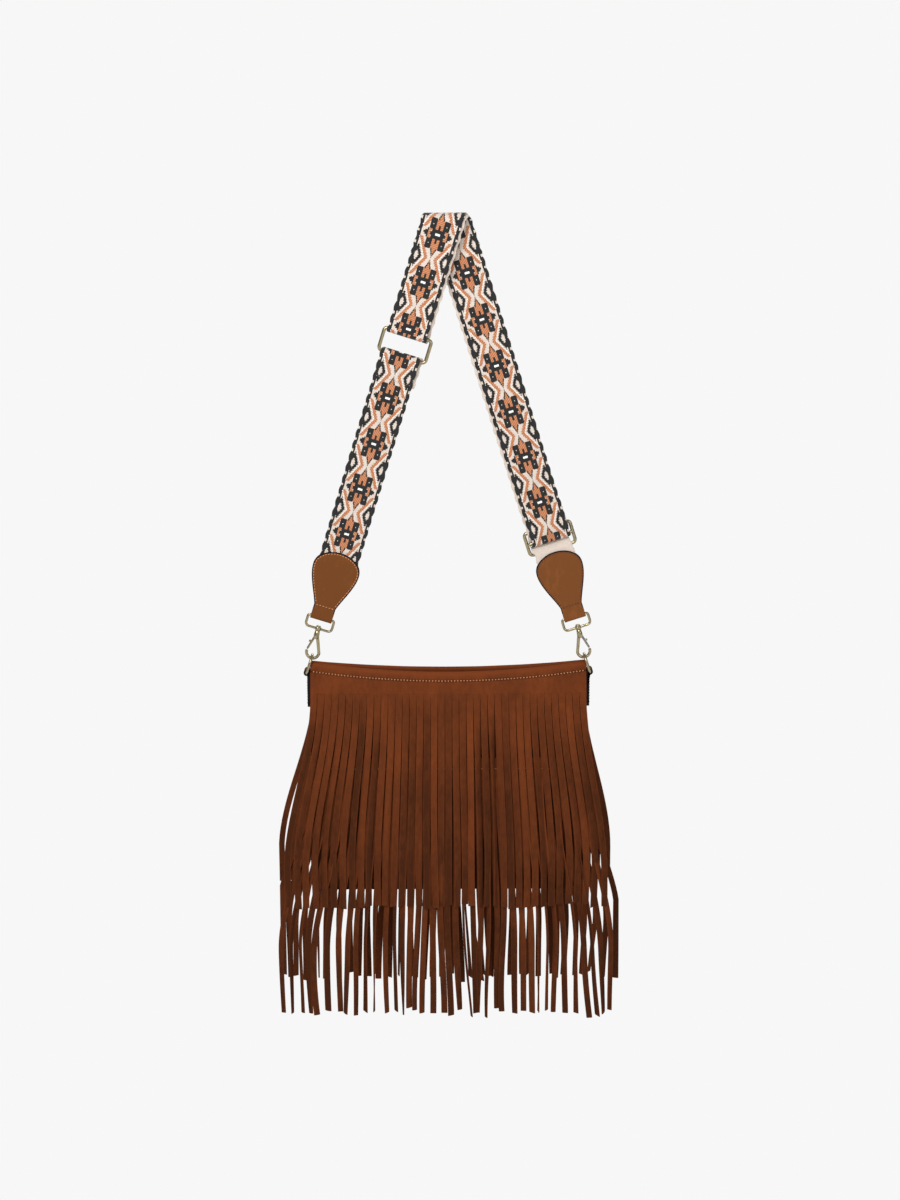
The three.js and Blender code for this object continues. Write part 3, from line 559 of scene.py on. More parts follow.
def ramp_between(knots):
    """A straight-line interpolation that goes on past its ends at a slope of 1."""

    def value(x):
        if x <= knots[0][0]:
            return knots[0][1] + x - knots[0][0]
        for (x0, y0), (x1, y1) in zip(knots, knots[1:]):
            if x <= x1:
                return y0 + (y1 - y0) * (x - x0) / (x1 - x0)
        return knots[-1][1] + x - knots[-1][0]

    return value


long_stops = [
    stop(RIGHT, WEB_END_AT, 0),
    stop(RIGHT, SLIDER_AT + BAR_PITCH, FRAME_N, -ON_WIRE),
    stop(RIGHT, SLIDER_AT, CENTRE_N, ON_CENTRE_BAR + LAYER_PITCH),
    stop(RIGHT, SLIDER_AT - BAR_PITCH, FRAME_N, -ON_WIRE),
    stop(RIGHT, SLIDER_AT - SETTLE, OUTER),
    stop(LEFT, RING_AT - SETTLE, OUTER),
    stop(LEFT, RING_AT - BAR_PITCH, 0, ON_WIRE),
    stop(LEFT, RING_AT - SETTLE, INNER),
    stop(RIGHT, SLIDER_AT - SETTLE, INNER),
    stop(RIGHT, SLIDER_AT - BAR_PITCH, FRAME_N, ON_WIRE + 2 * LAYER_PITCH),
    stop(RIGHT, SLIDER_AT, CENTRE_N, ON_CENTRE_BAR),
    stop(RIGHT, SLIDER_AT - BAR_PITCH, FRAME_N, -ON_WIRE - LAYER_PITCH),
    stop(RIGHT, SLIDER_AT - TAIL, -LAYER_PITCH),
]
ring_bend = min(pulled_tight(long_stops), key=lambda station: station[0].x)
outer_motif = ring_bend[2] - (RING_AT - BAR_PITCH - LEFT_MOTIF_AT)
inner_motif = ring_bend[2] + RING_AT - BAR_PITCH + 2 * LEG_START + RIGHT_MOTIF_AT
long_weave = ramp_between([
    (outer_motif, 0),
    (ring_bend[2], ring_bend[2] - outer_motif),
    (inner_motif, 5 * MOTIF_PERIOD),
])
webbing("long_webbing", long_stops, 1, long_weave, ["long_webbing"])
short_stops = [
    stop(LEFT, WEB_END_AT, 0),
    stop(LEFT, RING_AT + SETTLE, OUTER),
    stop(LEFT, RING_AT + BAR_PITCH, 0, -ON_WIRE),
    stop(LEFT, RING_AT + BAR_PITCH + TAIL, INNER),
]
short_weave = ramp_between([(WEB_END_AT, SHORT_MOTIF_AT)])
webbing("short_webbing", short_stops, -1, short_weave, ["short_webbing"])


# --- Seams ------------------------------------------------------------------------------------
# Waxed thread. Each stitch is a short arch of thread whose two ends dive into the holes.
STITCH_ARCH = (  # the share of a stitch's length, its girth there and its lift, both in radii
    (0, 0.5, -1.2),
    (0.14, 0.95, 0.1),
    (0.5, 1.0, 0.5),
    (0.86, 0.95, 0.1),
    (1, 0.5, -1.2),
)


def stitched(line, pitch, share=0.62, radius=0.34, rise=0.16):
    """Stitches along a line of (place, outward direction), evenly spread."""
    shape = Shape()
    lengths = [0.0]
    for (here, _), (after, _) in zip(line, line[1:]):
        lengths.append(lengths[-1] + (Vector(after) - Vector(here)).length)

    def on_line(distance):
        for i in range(1, len(line)):
            if distance <= lengths[i] or i == len(line) - 1:
                part = (distance - lengths[i - 1]) / max(lengths[i] - lengths[i - 1], 1e-6)
                place = Vector(line[i - 1][0]).lerp(Vector(line[i][0]), part)
                out = Vector(line[i - 1][1]).lerp(Vector(line[i][1]), part).normalized()
                return place, out
        return Vector(line[0][0]), Vector(line[0][1])

    count = max(1, round(lengths[-1] / pitch))
    for k in range(count):
        start = (k + (1 - share) / 2) * lengths[-1] / count
        rings = []
        for part, girth, lift in STITCH_ARCH:
            at = start + part * share * lengths[-1] / count
            place, out = on_line(at)
            ahead, _ = on_line(at + 0.2)
            behind, _ = on_line(at - 0.2)
            along = (ahead - behind).normalized()
            side = along.cross(out).normalized()
            middle = place + out * (rise + lift * radius)
            ring = []
            for corner in range(6):
                turn = math.tau * corner / 6
                away = side * math.cos(turn) + out * math.sin(turn)
                ring.append(middle + away * radius * girth)
            rings.append(ring)
        shape.skin(rings)
    return shape


def darker(colour):
    return tone(*(part * 0.72 for part in colour))


def thread(name, colour):
    finish = Finish(name, 0.6)
    twist = finish.noise(2600, 2)
    finish.set(base_color=finish.paint(tone(*colour), darker(colour), twist))
    finish.bump(twist, 0.05)
    return finish


ecru_thread = thread("ecru_thread", (176, 146, 124))
tan_thread = thread("tan_thread", (228, 158, 106))
brown_thread = thread("brown_thread", (112, 62, 36))


def across_left_leg(at, level):
    """A line across the front of a ply of the left leg."""
    out = leg_frame(LEFT, at).to_3x3() @ Vector((0, 0, 1))
    shift = -LAYER_SHIFT * math.tanh(level)
    edge = WEB_WIDTH / 2 - 2.5
    steps = 8
    line = []
    for k in range(steps + 1):
        u = blend(-edge, edge, k / steps) + shift
        line.append((strap_point(LEFT * (LEG_START + at), u, level + WEB_THICK / 2), out))
    return line


ring_seam_at = RING_AT + BAR_PITCH + TAIL - 3
ring_seam = stitched(across_left_leg(ring_seam_at, OUTER), 3.2, radius=0.3)
ring_seam.piece("ring_seam_thread", ecru_thread, "strap", "webbing")


# --- Strap ring and slider --------------------------------------------------------------------
# Both are bent from 4 mm steel wire, welded and plated in light gold. The slider has a centre bar.
RING_WIDTH = 54
RING_CORNER = 4


def tube(points, radius, closed=False, sides=16):
    """A round wire along points; radius is a number, or a function of the share of its length."""
    shape = Shape()
    rings = []
    across = None
    last = len(points) - 1
    for i, here in enumerate(points):
        after = points[(i + 1) % len(points)] if closed or i < last else here
        before = points[i - 1] if closed or i > 0 else here
        along = (after - before).normalized()
        across = across or along.orthogonal()
        across = (across - along * across.dot(along)).normalized()
        up = along.cross(across)
        girth = radius(i / last) if callable(radius) else radius
        ring = []
        for k in range(sides):
            turn = math.tau * k / sides
            ring.append(here + (across * math.cos(turn) + up * math.sin(turn)) * girth)
        rings.append(ring)
    return shape.skin(rings, along=closed)


def arc(centre, radius, start, end, steps):
    points = []
    for k in range(steps + 1):
        turn = math.radians(blend(start, end, k / steps))
        x = centre[0] + radius * math.cos(turn)
        points.append(Vector((x, centre[1] + radius * math.sin(turn), 0)))
    return points


def rounded_rectangle(width, height, corner, low_corner):
    x, y = width / 2, height / 2
    outline = arc((x - low_corner, -y + low_corner), low_corner, -90, 0, 8)
    outline += arc((x - corner, y - corner), corner, 0, 90, 8)
    outline += arc((-x + corner, y - corner), corner, 90, 180, 8)
    outline += arc((-x + low_corner, -y + low_corner), low_corner, 180, 270, 8)
    return filled(outline, 2)


def filled(outline, spacing):
    """Adds points along the straight stretches of a closed outline."""
    points = []
    for i, here in enumerate(outline):
        after = outline[(i + 1) % len(outline)]
        steps = max(1, math.ceil((after - here).length / spacing))
        points += [here.lerp(after, k / steps) for k in range(steps)]
    return points


def plated(name, colour, roughness):
    """Plated wire: faint draw marks, and a little tarnish in its duller patches."""
    finish = Finish(name, roughness, metallic=1.0)
    tarnish = finish.noise(240, 4)
    fine = finish.noise(1500, 3, stretch=(1, 1, 0.2))
    sockets = {"Value": tarnish, "From Min": 0.52, "From Max": 0.72}
    patch = finish.add("ShaderNodeMapRange", {}, sockets)
    finish.set(base_color=finish.paint(tone(*colour), darker(colour), patch * 0.7))
    finish.set(roughness=patch * 0.16 + fine * 0.1 + (roughness - 0.05))
    finish.bump(fine, 0.012)
    return finish


gold = plated("light_gold_plate", (166, 153, 122), 0.2)
# Steel for the gate pins and springs; on the right gate alone it is painted shade.
gate_steel = plated("gate_steel", (150, 144, 134), 0.3)

ring_outline = rounded_rectangle(RING_WIDTH, 2 * BAR_PITCH, RING_CORNER, RING_CORNER)
ring_shape = tube(ring_outline, WIRE_RADIUS, closed=True, sides=20).placed(leg_frame(LEFT, RING_AT))
ring_shape.piece("strap_ring", gold, "strap", "gold_metal", ["strap_ring"])

slider_outline = [p - Vector((0, 0, FRAME_N)) for p in ring_outline]
slider_shape = tube(slider_outline, WIRE_RADIUS, closed=True, sides=20)
bar_reach = RING_WIDTH / 2
centre_bar = []
for k in range(21):
    x = blend(-bar_reach, bar_reach, k / 20)
    rise = CENTRE_BAR_RISE * limit((bar_reach - abs(x)) / 2.5, 0, 1)
    centre_bar.append(Vector((x, 0, -FRAME_N + rise)))
slider_shape.join(tube(centre_bar, CENTRE_BAR_RADIUS)).placed(leg_frame(RIGHT, SLIDER_AT))
slider_shape.piece("strap_slider", gold, "strap", "gold_metal", ["strap_slider"])


# --- End pads ---------------------------------------------------------------------------------
# Pear-shaped pads of waxed suede, folded round the bar of the swivel loop with the webbing's end
# between their plies, sewn near the edge and across the neck, with black painted edges.
PAD_TOP_AT = 386
PAD_HEIGHT = LOOP_BAR_AT - PAD_TOP_AT
PAD_HALF_WIDTH = 27
NECK_HALF_WIDTH = 12.6
NECK_HEIGHT = 14
LOOP_RADIUS = 1.5
PAD_THICK = 1.8
PLY_INNER = LOOP_RADIUS + CLEARANCE
PLY_OUTER = PLY_INNER + PAD_THICK
PAD_RIM = 2.4  # half the thickness of the painted edge
PAD_BODY_FROM = 4
PAINT_DEPTH = 1.25  # how far the edge paint reaches over the face
PAD_SEAM_DEPTH = 2.1
PAD_DEPTHS = (0, 0.12, 0.4, 0.7, 0.8, 1.2, 1.5, 1.9, PAD_SEAM_DEPTH, 2.3, 2.8, 4, 6)
EDGE_PAINT = (30, 29, 32)


def bezier(a, b, c, d, steps):
    points = []
    for k in range(1, steps + 1):
        t = k / steps
        x, y = (
            (1 - t) ** 3 * p + 3 * (1 - t) ** 2 * t * q + 3 * (1 - t) * t * t * r + t ** 3 * s
            for p, q, r, s in zip(a, b, c, d)
        )
        points.append(Vector((x, y)))
    return points


def pad_edge():
    """The right-hand edge of a pad, from its neck to the middle of its top."""
    wide, neck = PAD_HALF_WIDTH, NECK_HALF_WIDTH
    waist = (neck + 4, 0.34 * PAD_HEIGHT)
    hip = (wide, 0.56 * PAD_HEIGHT)
    widest = (wide, 0.74 * PAD_HEIGHT)
    shoulder = (wide, 0.9 * PAD_HEIGHT)
    brow = (0.5 * wide, PAD_HEIGHT)
    edge = [Vector((neck, blend(PAD_BODY_FROM, NECK_HEIGHT, k / 4))) for k in range(5)]
    edge += bezier((neck, NECK_HEIGHT), waist, hip, widest, 22)
    return edge + bezier(widest, shoulder, brow, (0, PAD_HEIGHT), 22)


def inset(edge, distance):
    """A line inside the edge, at a distance from it."""
    line = []
    for i, here in enumerate(edge):
        along = edge[min(i + 1, len(edge) - 1)] - edge[max(i - 1, 0)]
        line.append(here + Vector((-along.y, along.x)).normalized() * distance)
    return line


def pad_relief(depth):
    """How far the face of a pad stands out, at a distance inside its edge."""
    rounded = PAD_RIM + 0.55 * math.sqrt(max(0, 1 - (1 - min(depth / 0.9, 1)) ** 2))
    groove = 0.28 * math.exp(-(((depth - PAD_SEAM_DEPTH) / 0.45) ** 2))
    return rounded - groove + 0.55 * limit((depth - 2.6) / 5, 0, 1) ** 0.7


def suede(name, colour, mottle, nap=1.0, sheen=0.04, painted=None):
    """Brushed leather: cloudy patches where the nap lies over, fine fibres, painted shade, painted
    highlights, and painted edges.
    """
    finish = Finish(name, 0.92, sheen=sheen)
    dusty = tone(*(min(255, part * 1.5 + 30) for part in colour))
    finish.shader.inputs["Sheen Tint"].default_value = dusty
    finish.shader.inputs["Specular IOR Level"].default_value = 0.08
    dark = tone(*(part * (1 - mottle) for part in colour))
    light = tone(*(min(255, part * (1 + mottle * 0.9)) for part in colour))
    clouds = finish.noise(38, 4, stretch=(1, 1, 0.45))
    brushed = finish.noise(260, 3, stretch=(1, 1, 0.4))
    fibres = finish.noise(2400, 2)
    # The tone_and_shade mark gives each fringe strip its own tone, plus painted shade: darker down the
    # strips and in the hem's groove.
    shade = clouds * 0.8 + brushed * 0.6 - 0.2 + (finish.mark("tone_and_shade") - 0.5) * 1.1
    shade = finish.add("ShaderNodeClamp", {}, {"Value": shade})
    base = finish.paint(dark, light, shade)
    base = finish.paint(base, dark, (fibres > 0.62) * 0.35)
    # Lighter where wear_and_highlight is set: wear on the pads, a painted highlight on the mouth's
    # fold, and edge wear with a painted highlight on the strips' cut edges.
    base = finish.paint(base, light, finish.mark("wear_and_highlight") * 0.8)
    if painted:
        base = finish.paint(base, tone(*painted), finish.mark("painted"))
    finish.set(base_color=base)
    finish.bump(fibres * 0.6 + brushed * 0.8 + clouds * 0.6, 0.16 * nap)
    return finish


def pad_plies(shape):
    """The pad's two faces with its painted edge between them, row by row from neck to top."""
    edge = pad_edge()
    insets = [inset(edge, depth) for depth in PAD_DEPTHS]
    inner_columns = 9
    rings, painted, wear_and_highlight = [], [], []
    for i, at_edge in enumerate(edge):
        right = []
        for line, depth in zip(insets, PAD_DEPTHS):
            right.append((Vector((max(line[i].x, 0), line[i].y)), depth))
        innermost = right[-1][0]
        middle = []
        for k in range(1, inner_columns):
            x = blend(innermost.x, -innermost.x, k / inner_columns)
            rise = 1 - (x / (innermost.x + 1e-6)) ** 2
            middle.append((Vector((x, innermost.y)), PAD_DEPTHS[-1] + 4 * rise))
        left = [(Vector((-p.x, p.y)), depth) for p, depth in reversed(right)]
        face = right + middle + left
        ease = limit((at_edge.y - PAD_BODY_FROM) / 9, 0, 1)
        ring, paint, ring_wear_and_highlight = [], [], []
        for way, row in ((1, face), (-1, list(reversed(face)))):
            for p, depth in row:
                out = PAD_RIM
                if depth > 0:
                    out = blend(PLY_OUTER - 0.25, pad_relief(depth), ease)
                ring.append(Vector((p.x, p.y, way * out)))
                under_paint = depth < PAINT_DEPTH
                paint.append(1.0 if under_paint else 0.0)
                ring_wear_and_highlight.append(0.0 if under_paint else 0.5 * math.exp(-(depth - 1.5) / 0.8))
        rings.append(ring)
        painted.append(paint)
        wear_and_highlight.append(ring_wear_and_highlight)
    shape.skin(rings, painted=painted, wear_and_highlight=wear_and_highlight)


def pad_fold(shape):
    """The neck's suede round the bar of the loop, open from end to end."""
    top = PAD_BODY_FROM + 4
    outside = [(top, PLY_OUTER - 0.3), (PAD_BODY_FROM, PLY_OUTER - 0.1)]
    inside = [(top, 0.6), (3.2, 1.1)]
    hollow = PLY_INNER + 0.15
    for k in range(25):
        turn = math.pi * k / 24
        outside.append((-PLY_OUTER * math.sin(turn), PLY_OUTER * math.cos(turn)))
        inside.append((-hollow * math.sin(turn), hollow * math.cos(turn)))
    outside += [(PAD_BODY_FROM, -PLY_OUTER + 0.1), (top, -PLY_OUTER + 0.3)]
    inside += [(3.2, -1.1), (top, -0.6)]
    ends = ((1, 0.5), (1, 0), (0.975, -0.25))
    stations = [(-share, sink) for share, sink in ends]
    stations += [(-0.5, -0.3), (0, -0.3), (0.5, -0.3)] + list(reversed(ends))
    rings, painted = [], []
    for share, sink in stations:
        x = share * (NECK_HALF_WIDTH - 0.05)
        ring = []
        for (y, z), (y_in, z_in) in zip(outside, inside):
            away = Vector((y - y_in, z - z_in)).normalized() * max(sink, 0)
            ring.append(Vector((x, y - away.x, z - away.y)))
        ring += [Vector((x, y, z)) for y, z in reversed(inside)]
        rings.append(ring)
        painted.append(1.0 if abs(share) == 1 else 0.0)
    shape.skin(rings, painted=painted, wear_and_highlight=[0.0] * len(rings))


def pad_seams():
    """A seam near the edge and one across the neck, on each face."""
    seams = Shape()
    neck = NECK_HALF_WIDTH - 1.9
    for front in (1, -1):
        out = Vector((0, 0, front))
        level = front * pad_relief(PAD_SEAM_DEPTH)
        run = [p for p in inset(pad_edge(), PAD_SEAM_DEPTH) if p.y > NECK_HEIGHT + 0.5]
        line = [(Vector((p.x, p.y, level)), out) for p in run]
        line += [(Vector((-p.x, p.y, level)), out) for p in reversed(run[:-1])]
        seams.join(stitched(line, 3.3, radius=0.5, rise=0.25))
        level = front * (pad_relief(PAD_DEPTHS[-1]) + 0.05)
        xs = [blend(-neck, neck, k / 6) for k in range(7)]
        line = [(Vector((x, NECK_HEIGHT, level)), out) for x in xs]
        seams.join(stitched(line, 3.3, radius=0.5, rise=0.25))
    return seams


pads = (
    (LEFT, "left_pad", (136, 80, 40), tan_thread),
    (RIGHT, "right_pad", (144, 86, 44), brown_thread),
)
for side, name, colour, seam_thread in pads:
    finish = suede(name + "_suede", colour, mottle=0.2, nap=0.5, painted=EDGE_PAINT)
    place = leg_frame(side, LOOP_BAR_AT)
    shape = Shape()
    pad_plies(shape)
    pad_fold(shape)
    shape.placed(place).piece(name, finish, "strap", "pad_suede", [name], crease=50)
    pad_seams().placed(place).piece(name + "_stitching", seam_thread, "strap", "pad_suede")


# --- Swivel loops and hooks -------------------------------------------------------------------
# Die-cast swivel snap hooks, plated in light gold. The loop's lower bar swells into a boss, and the
# hook's post turns in it under a riveted head. The sprung gate swings inwards on its pin.
LOOP_WIDTH = 30.6
LOOP_CORNER = 2.6
LOOP_LOW_CORNER = 4
HOOK_TILT = math.radians(13.5)
HOOK_REACH = 35.5
BOSS_RADIUS = 3.6
BOSS_HALF = 2
POST_RADIUS = 1.5
POST_HEAD_RADIUS = 2.6
POST_HEAD_HEIGHT = 1.6
NECK_BLOCK_RADIUS = 3.3
NECK_BLOCK_TOP = BOSS_HALF + CLEARANCE
NECK_BLOCK_BOTTOM = 12.2
HOOK_WIRE = 1.7
BOW_RADIUS = 7.2
BOW_CENTRE = Vector((0, BOW_RADIUS - HOOK_REACH))
TIP_ANGLE = 8
GATE_PIVOT = Vector((1.7, -10))
GATE_RADIUS = 1.2


def hook_frame(side):
    """The hook's frame: x across, y up its axis and z to the front, with the loop's bar at zero."""
    at = strap_point(side * (LEG_START + LOWER_BAR_AT), 0, 0)
    turn = Matrix.Rotation(-side * HOOK_TILT, 4, "Y") @ Matrix.Rotation(math.pi / 2, 4, "X")
    return Matrix.Translation((at.x, 0, at.z)) @ turn


def turned(profile, sides=24):
    """A part turned on a lathe about its y axis, from pairs of radius and height."""
    rings = []
    for radius, height in profile:
        turns = (math.tau * k / sides for k in range(sides))
        rings.append([Vector((radius * math.cos(t), height, radius * math.sin(t))) for t in turns])
    return rings


def swivel_loop(side, name):
    outline = rounded_rectangle(LOOP_WIDTH, LOOP_HEIGHT, LOOP_CORNER, LOOP_LOW_CORNER)
    outline = [p - Vector((0, LOOP_HEIGHT / 2, 0)) for p in outline]
    shape = tube(outline, LOOP_RADIUS, closed=True)
    shape.placed(leg_frame(side, LOOP_BAR_AT))
    bore = POST_RADIUS + CLEARANCE
    rim = BOSS_RADIUS - 0.5
    profile = [
        (bore, -BOSS_HALF), (rim, -BOSS_HALF), (BOSS_RADIUS - 0.1, -BOSS_HALF + 0.4),
        (BOSS_RADIUS, -0.8), (BOSS_RADIUS, 0.8), (BOSS_RADIUS - 0.1, BOSS_HALF - 0.4),
        (rim, BOSS_HALF), (bore, BOSS_HALF),
    ]
    shape.join(Shape().skin(turned(profile), along=True).placed(hook_frame(side)))
    shape.piece(name, gold, name.replace("_swivel", ""), "gold_metal", [name])


def hook_body(side, name):
    head = BOSS_HALF + CLEARANCE
    post = [
        (0.01, head + POST_HEAD_HEIGHT), (POST_HEAD_RADIUS - 1.1, head + POST_HEAD_HEIGHT - 0.1),
        (POST_HEAD_RADIUS - 0.3, head + 1.1), (POST_HEAD_RADIUS, head + 0.5), (POST_HEAD_RADIUS, head),
        (POST_RADIUS, head), (POST_RADIUS, -NECK_BLOCK_TOP), (2.2, -NECK_BLOCK_TOP),
        (2.7, -NECK_BLOCK_TOP - 0.5), (NECK_BLOCK_RADIUS - 0.1, -6.5), (NECK_BLOCK_RADIUS, -9),
        (NECK_BLOCK_RADIUS - 0.3, -NECK_BLOCK_BOTTOM + 0.6), (2.4, -NECK_BLOCK_BOTTOM),
        (0.01, -NECK_BLOCK_BOTTOM),
    ]
    shape = Shape().skin(turned(post, 28))
    start = Vector((-1.6, -NECK_BLOCK_BOTTOM + 2, 0))
    turn_start = Vector((BOW_CENTRE.x - BOW_RADIUS, BOW_CENTRE.y, 0))
    wire = [start.lerp(turn_start, k / 10) for k in range(10)]
    wire += arc(BOW_CENTRE, BOW_RADIUS, 180, 360 + TIP_ANGLE, 26)
    tip = wire[-1]
    wire += [tip + Vector((-0.05, 0.35, 0))]

    def girth(share):
        rounded = 0.72 if share == 1 else 1
        return HOOK_WIRE * (1.12 - 0.12 * min(share * 3, 1)) * rounded

    shape.join(tube(wire, girth, sides=18))
    mirror = Matrix.Diagonal((side, 1, 1, 1))
    body = name.replace("_body", "")
    shape.placed(hook_frame(side) @ mirror).piece(name, gold, body, "gold_metal", [name])


def hook_gate(side, name):
    turn = math.radians(TIP_ANGLE)
    tip = BOW_CENTRE + BOW_RADIUS * Vector((math.cos(turn), math.sin(turn)))
    tip.y += CLEARANCE + GATE_RADIUS
    rail = [GATE_PIVOT.lerp(tip, k / 12).to_3d() for k in range(13)]

    def girth(share):
        return GATE_RADIUS * (1.1 - 0.1 * share if share < 1 else 0.7)

    shape = tube(rail, girth, sides=14)
    way = (tip - GATE_PIVOT).normalized()
    out = Vector((-way.y, way.x, 0))
    knob_foot = GATE_PIVOT.lerp(tip, 0.42).to_3d() + out * 0.6
    knob_girths = (0.9, 0.9, 1.5, 1.5, 1.1)
    knob_line = [knob_foot + out * up for up in (0, 1.0, 1.6, 2.3, 2.5)]
    shape.join(tube(knob_line, lambda share: knob_girths[round(share * 4)], sides=14))
    profile = [(0.7, -0.8), (1.45, -0.8), (1.6, -0.6), (1.6, 0.6), (1.45, 0.8), (0.7, 0.8)]
    lying = Matrix.Translation(GATE_PIVOT.to_3d()) @ Matrix.Rotation(math.pi / 2, 4, "X")
    shape.join(Shape().skin(turned(profile), along=True).placed(lying))
    mirror = Matrix.Diagonal((side, 1, 1, 1))
    shape.placed(hook_frame(side) @ mirror)
    # The right gate takes the darker steel finish and the left the gold: painted shade for the dark
    # reflection on the right gate.
    finish = gate_steel if side == RIGHT else gold
    shape.piece(name, finish, name.replace("hook_", ""), "steel", [name])


for side, word in ((LEFT, "left"), (RIGHT, "right")):
    swivel_loop(side, word + "_swivel_loop")
    hook_body(side, word + "_hook_body")
    hook_gate(side, word + "_hook_gate")
    for small in ("_gate_pin", "_gate_spring"):
        metal_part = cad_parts[word + small]
        metal_part.data.materials.clear()
        metal_part.data.materials.append(gate_steel.material)


# --- D-rings and side tabs --------------------------------------------------------------------
# A tab of suede with painted edges is folded round each D-ring's flat bar and sewn to the end of
# the bag. The D-ring is bent wire, plated like the hooks.
D_WIRE = 1.6
D_HALF_WIDTH = 10
D_HEIGHT = 20.5
D_CORNER = 2.4
D_TILT = math.radians(17.7)
D_PLAY = 0.6
TAB_WIDTH = 14.5
TAB_THICK = 1.7
TAB_LENGTH = 40

tab_suede = suede("tab_suede", (96, 50, 28), mottle=0.18, painted=EDGE_PAINT)


def side_tab(side, word, place):
    """The tab's two plies lie against the bag, and its eye goes round the D-ring's bar."""
    eye = D_WIRE + 0.4
    outer = eye + TAB_THICK
    face = 2 * TAB_THICK - outer
    start = -math.acos(face / outer)
    levels = (-TAB_LENGTH, -20, -6)
    outside = [Vector((face, z)) for z in levels]
    inside = [Vector((face - TAB_THICK, z)) for z in levels]
    for k in range(25):
        turn = blend(start, math.pi, k / 24)
        way = Vector((math.cos(turn), math.sin(turn)))
        outside.append(way * outer)
        inside.append(way * eye)
    outside += [Vector((-outer, z)) for z in reversed(levels)]
    inside += [Vector((-outer + TAB_THICK, z)) for z in reversed(levels)]
    half = TAB_WIDTH / 2
    ends = ((half - 0.35, -0.06), (half, 0), (half, 0.45))
    stations = [(-y, sink) for y, sink in reversed(ends)] + [(0, 0), *ends]
    rings, painted = [], []
    for y, sink in stations:
        ring = []
        for p, q in zip(outside, inside):
            way = (p - q).normalized() * max(sink, 0)
            ring.append(Vector((p.x - way.x, y, p.y - way.y)))
        ring += [Vector((q.x, y, q.y)) for q in reversed(inside)]
        rings.append(ring)
        painted.append(1.0 if abs(y) == half else 0.0)
    place = place @ Matrix.Rotation(math.pi if side == LEFT else 0, 4, "Z")
    shape = Shape().skin(rings, painted=painted).placed(place)
    shape.piece(word + "_side_tab", tab_suede, "bag", "suede", [word + "_side_tab"])

    out = Vector((1, 0, 0))
    x = face + 0.02
    y = half - 2
    low, high = -TAB_LENGTH + 3, -10
    corners = [Vector((x, *at)) for at in ((-y, low), (y, low), (y, high), (-y, high), (-y, low))]
    seam = Shape()
    for here, after in zip(corners, corners[1:]):
        seam.join(stitched([(here, out), (after, out)], 3.3, radius=0.3, rise=0.1))
    seam.placed(place).piece(word + "_tab_stitching", brown_thread, "bag", "suede")


for side, word in ((LEFT, "left"), (RIGHT, "right")):
    bow = hook_frame(side) @ Vector((0, -HOOK_REACH, 0))
    drop = D_HEIGHT - HOOK_WIRE - D_WIRE - D_PLAY
    tab_x = abs(bow.x) + drop * math.sin(D_TILT)
    bar_z = bow.z - drop * math.cos(D_TILT)
    place = Matrix.Translation((side * tab_x, 0, bar_z))
    straight = D_HEIGHT - D_HALF_WIDTH
    outline = arc((D_HALF_WIDTH - D_CORNER, D_CORNER), D_CORNER, -90, 0, 8)
    outline += arc((0, straight), D_HALF_WIDTH, 0, 180, 30)
    outline += arc((-D_HALF_WIDTH + D_CORNER, D_CORNER), D_CORNER, 180, 270, 8)
    wire = [Vector((0, p.x, p.y)) for p in filled(outline, 1.5)]
    d_ring = tube(wire, D_WIRE, closed=True, sides=18)
    d_ring.placed(place @ Matrix.Rotation(-side * D_TILT, 4, "Y"))
    d_ring.piece(word + "_d_ring", gold, word + "_d", "gold_metal", [word + "_d_ring"])
    side_tab(side, word, place)


# --- Bag body ---------------------------------------------------------------------------------
# Two suede panels joined by a gusset that runs down one end, along the base and up the other. The
# body swells towards its base and its mouth sags between the side tabs.
BAG_HALF_WIDTH = 157.4
MOUTH_CORNER_Z = -499
MOUTH_SAG = 10
BASE_Z = -760
BASE_CORNER = 28
MOUTH_HALF_DEPTH = 12  # drawn in by the snap
MOUTH_END_HALF_DEPTH = 3
BASE_HALF_DEPTH = 40
SUEDE = 1.8
FRONT = -1
BACK = 1

bag_suede = suede("bag_suede", (95, 47, 22), mottle=0.3)
raw_suede = suede("raw_suede", (82, 42, 26), mottle=0.16, nap=1.4, sheen=0.02)


def half_width(z):
    up = limit(z - BASE_Z, 0, BASE_CORNER)
    return BAG_HALF_WIDTH - BASE_CORNER + math.sqrt(BASE_CORNER ** 2 - (BASE_CORNER - up) ** 2)


def mouth_z(x):
    return MOUTH_CORNER_Z - MOUTH_SAG * (1 - (x / BAG_HALF_WIDTH) ** 2)


def half_depth(x, z):
    across = min(abs(x) / BAG_HALF_WIDTH, 1)
    mouth = MOUTH_END_HALF_DEPTH + (MOUTH_HALF_DEPTH - MOUTH_END_HALF_DEPTH) * (1 - across ** 2)
    down = limit((mouth_z(x) - z) / (mouth_z(x) - BASE_Z), 0, 1)
    return blend(mouth, BASE_HALF_DEPTH, math.sin(math.pi / 2 * down) ** 0.9)


def soft_wave(x, z):
    """The slow waves of a body that isn't stuffed."""
    return 0.8 * math.sin(x / 41 + z / 67) + 0.6 * math.sin(x / 23 - z / 49 + 1.3)


def thick_sheet(columns, rows, place, thick):
    """A sheet with two faces: place(i, j) gives a point and its outward direction."""
    rings = []
    for j in range(rows + 1):
        spots = [place(i, j) for i in range(columns + 1)]
        outer = [p for p, _ in spots]
        inner = [p - out * thick for p, out in reversed(spots)]
        rings.append(outer + inner)
    return Shape().skin(rings)


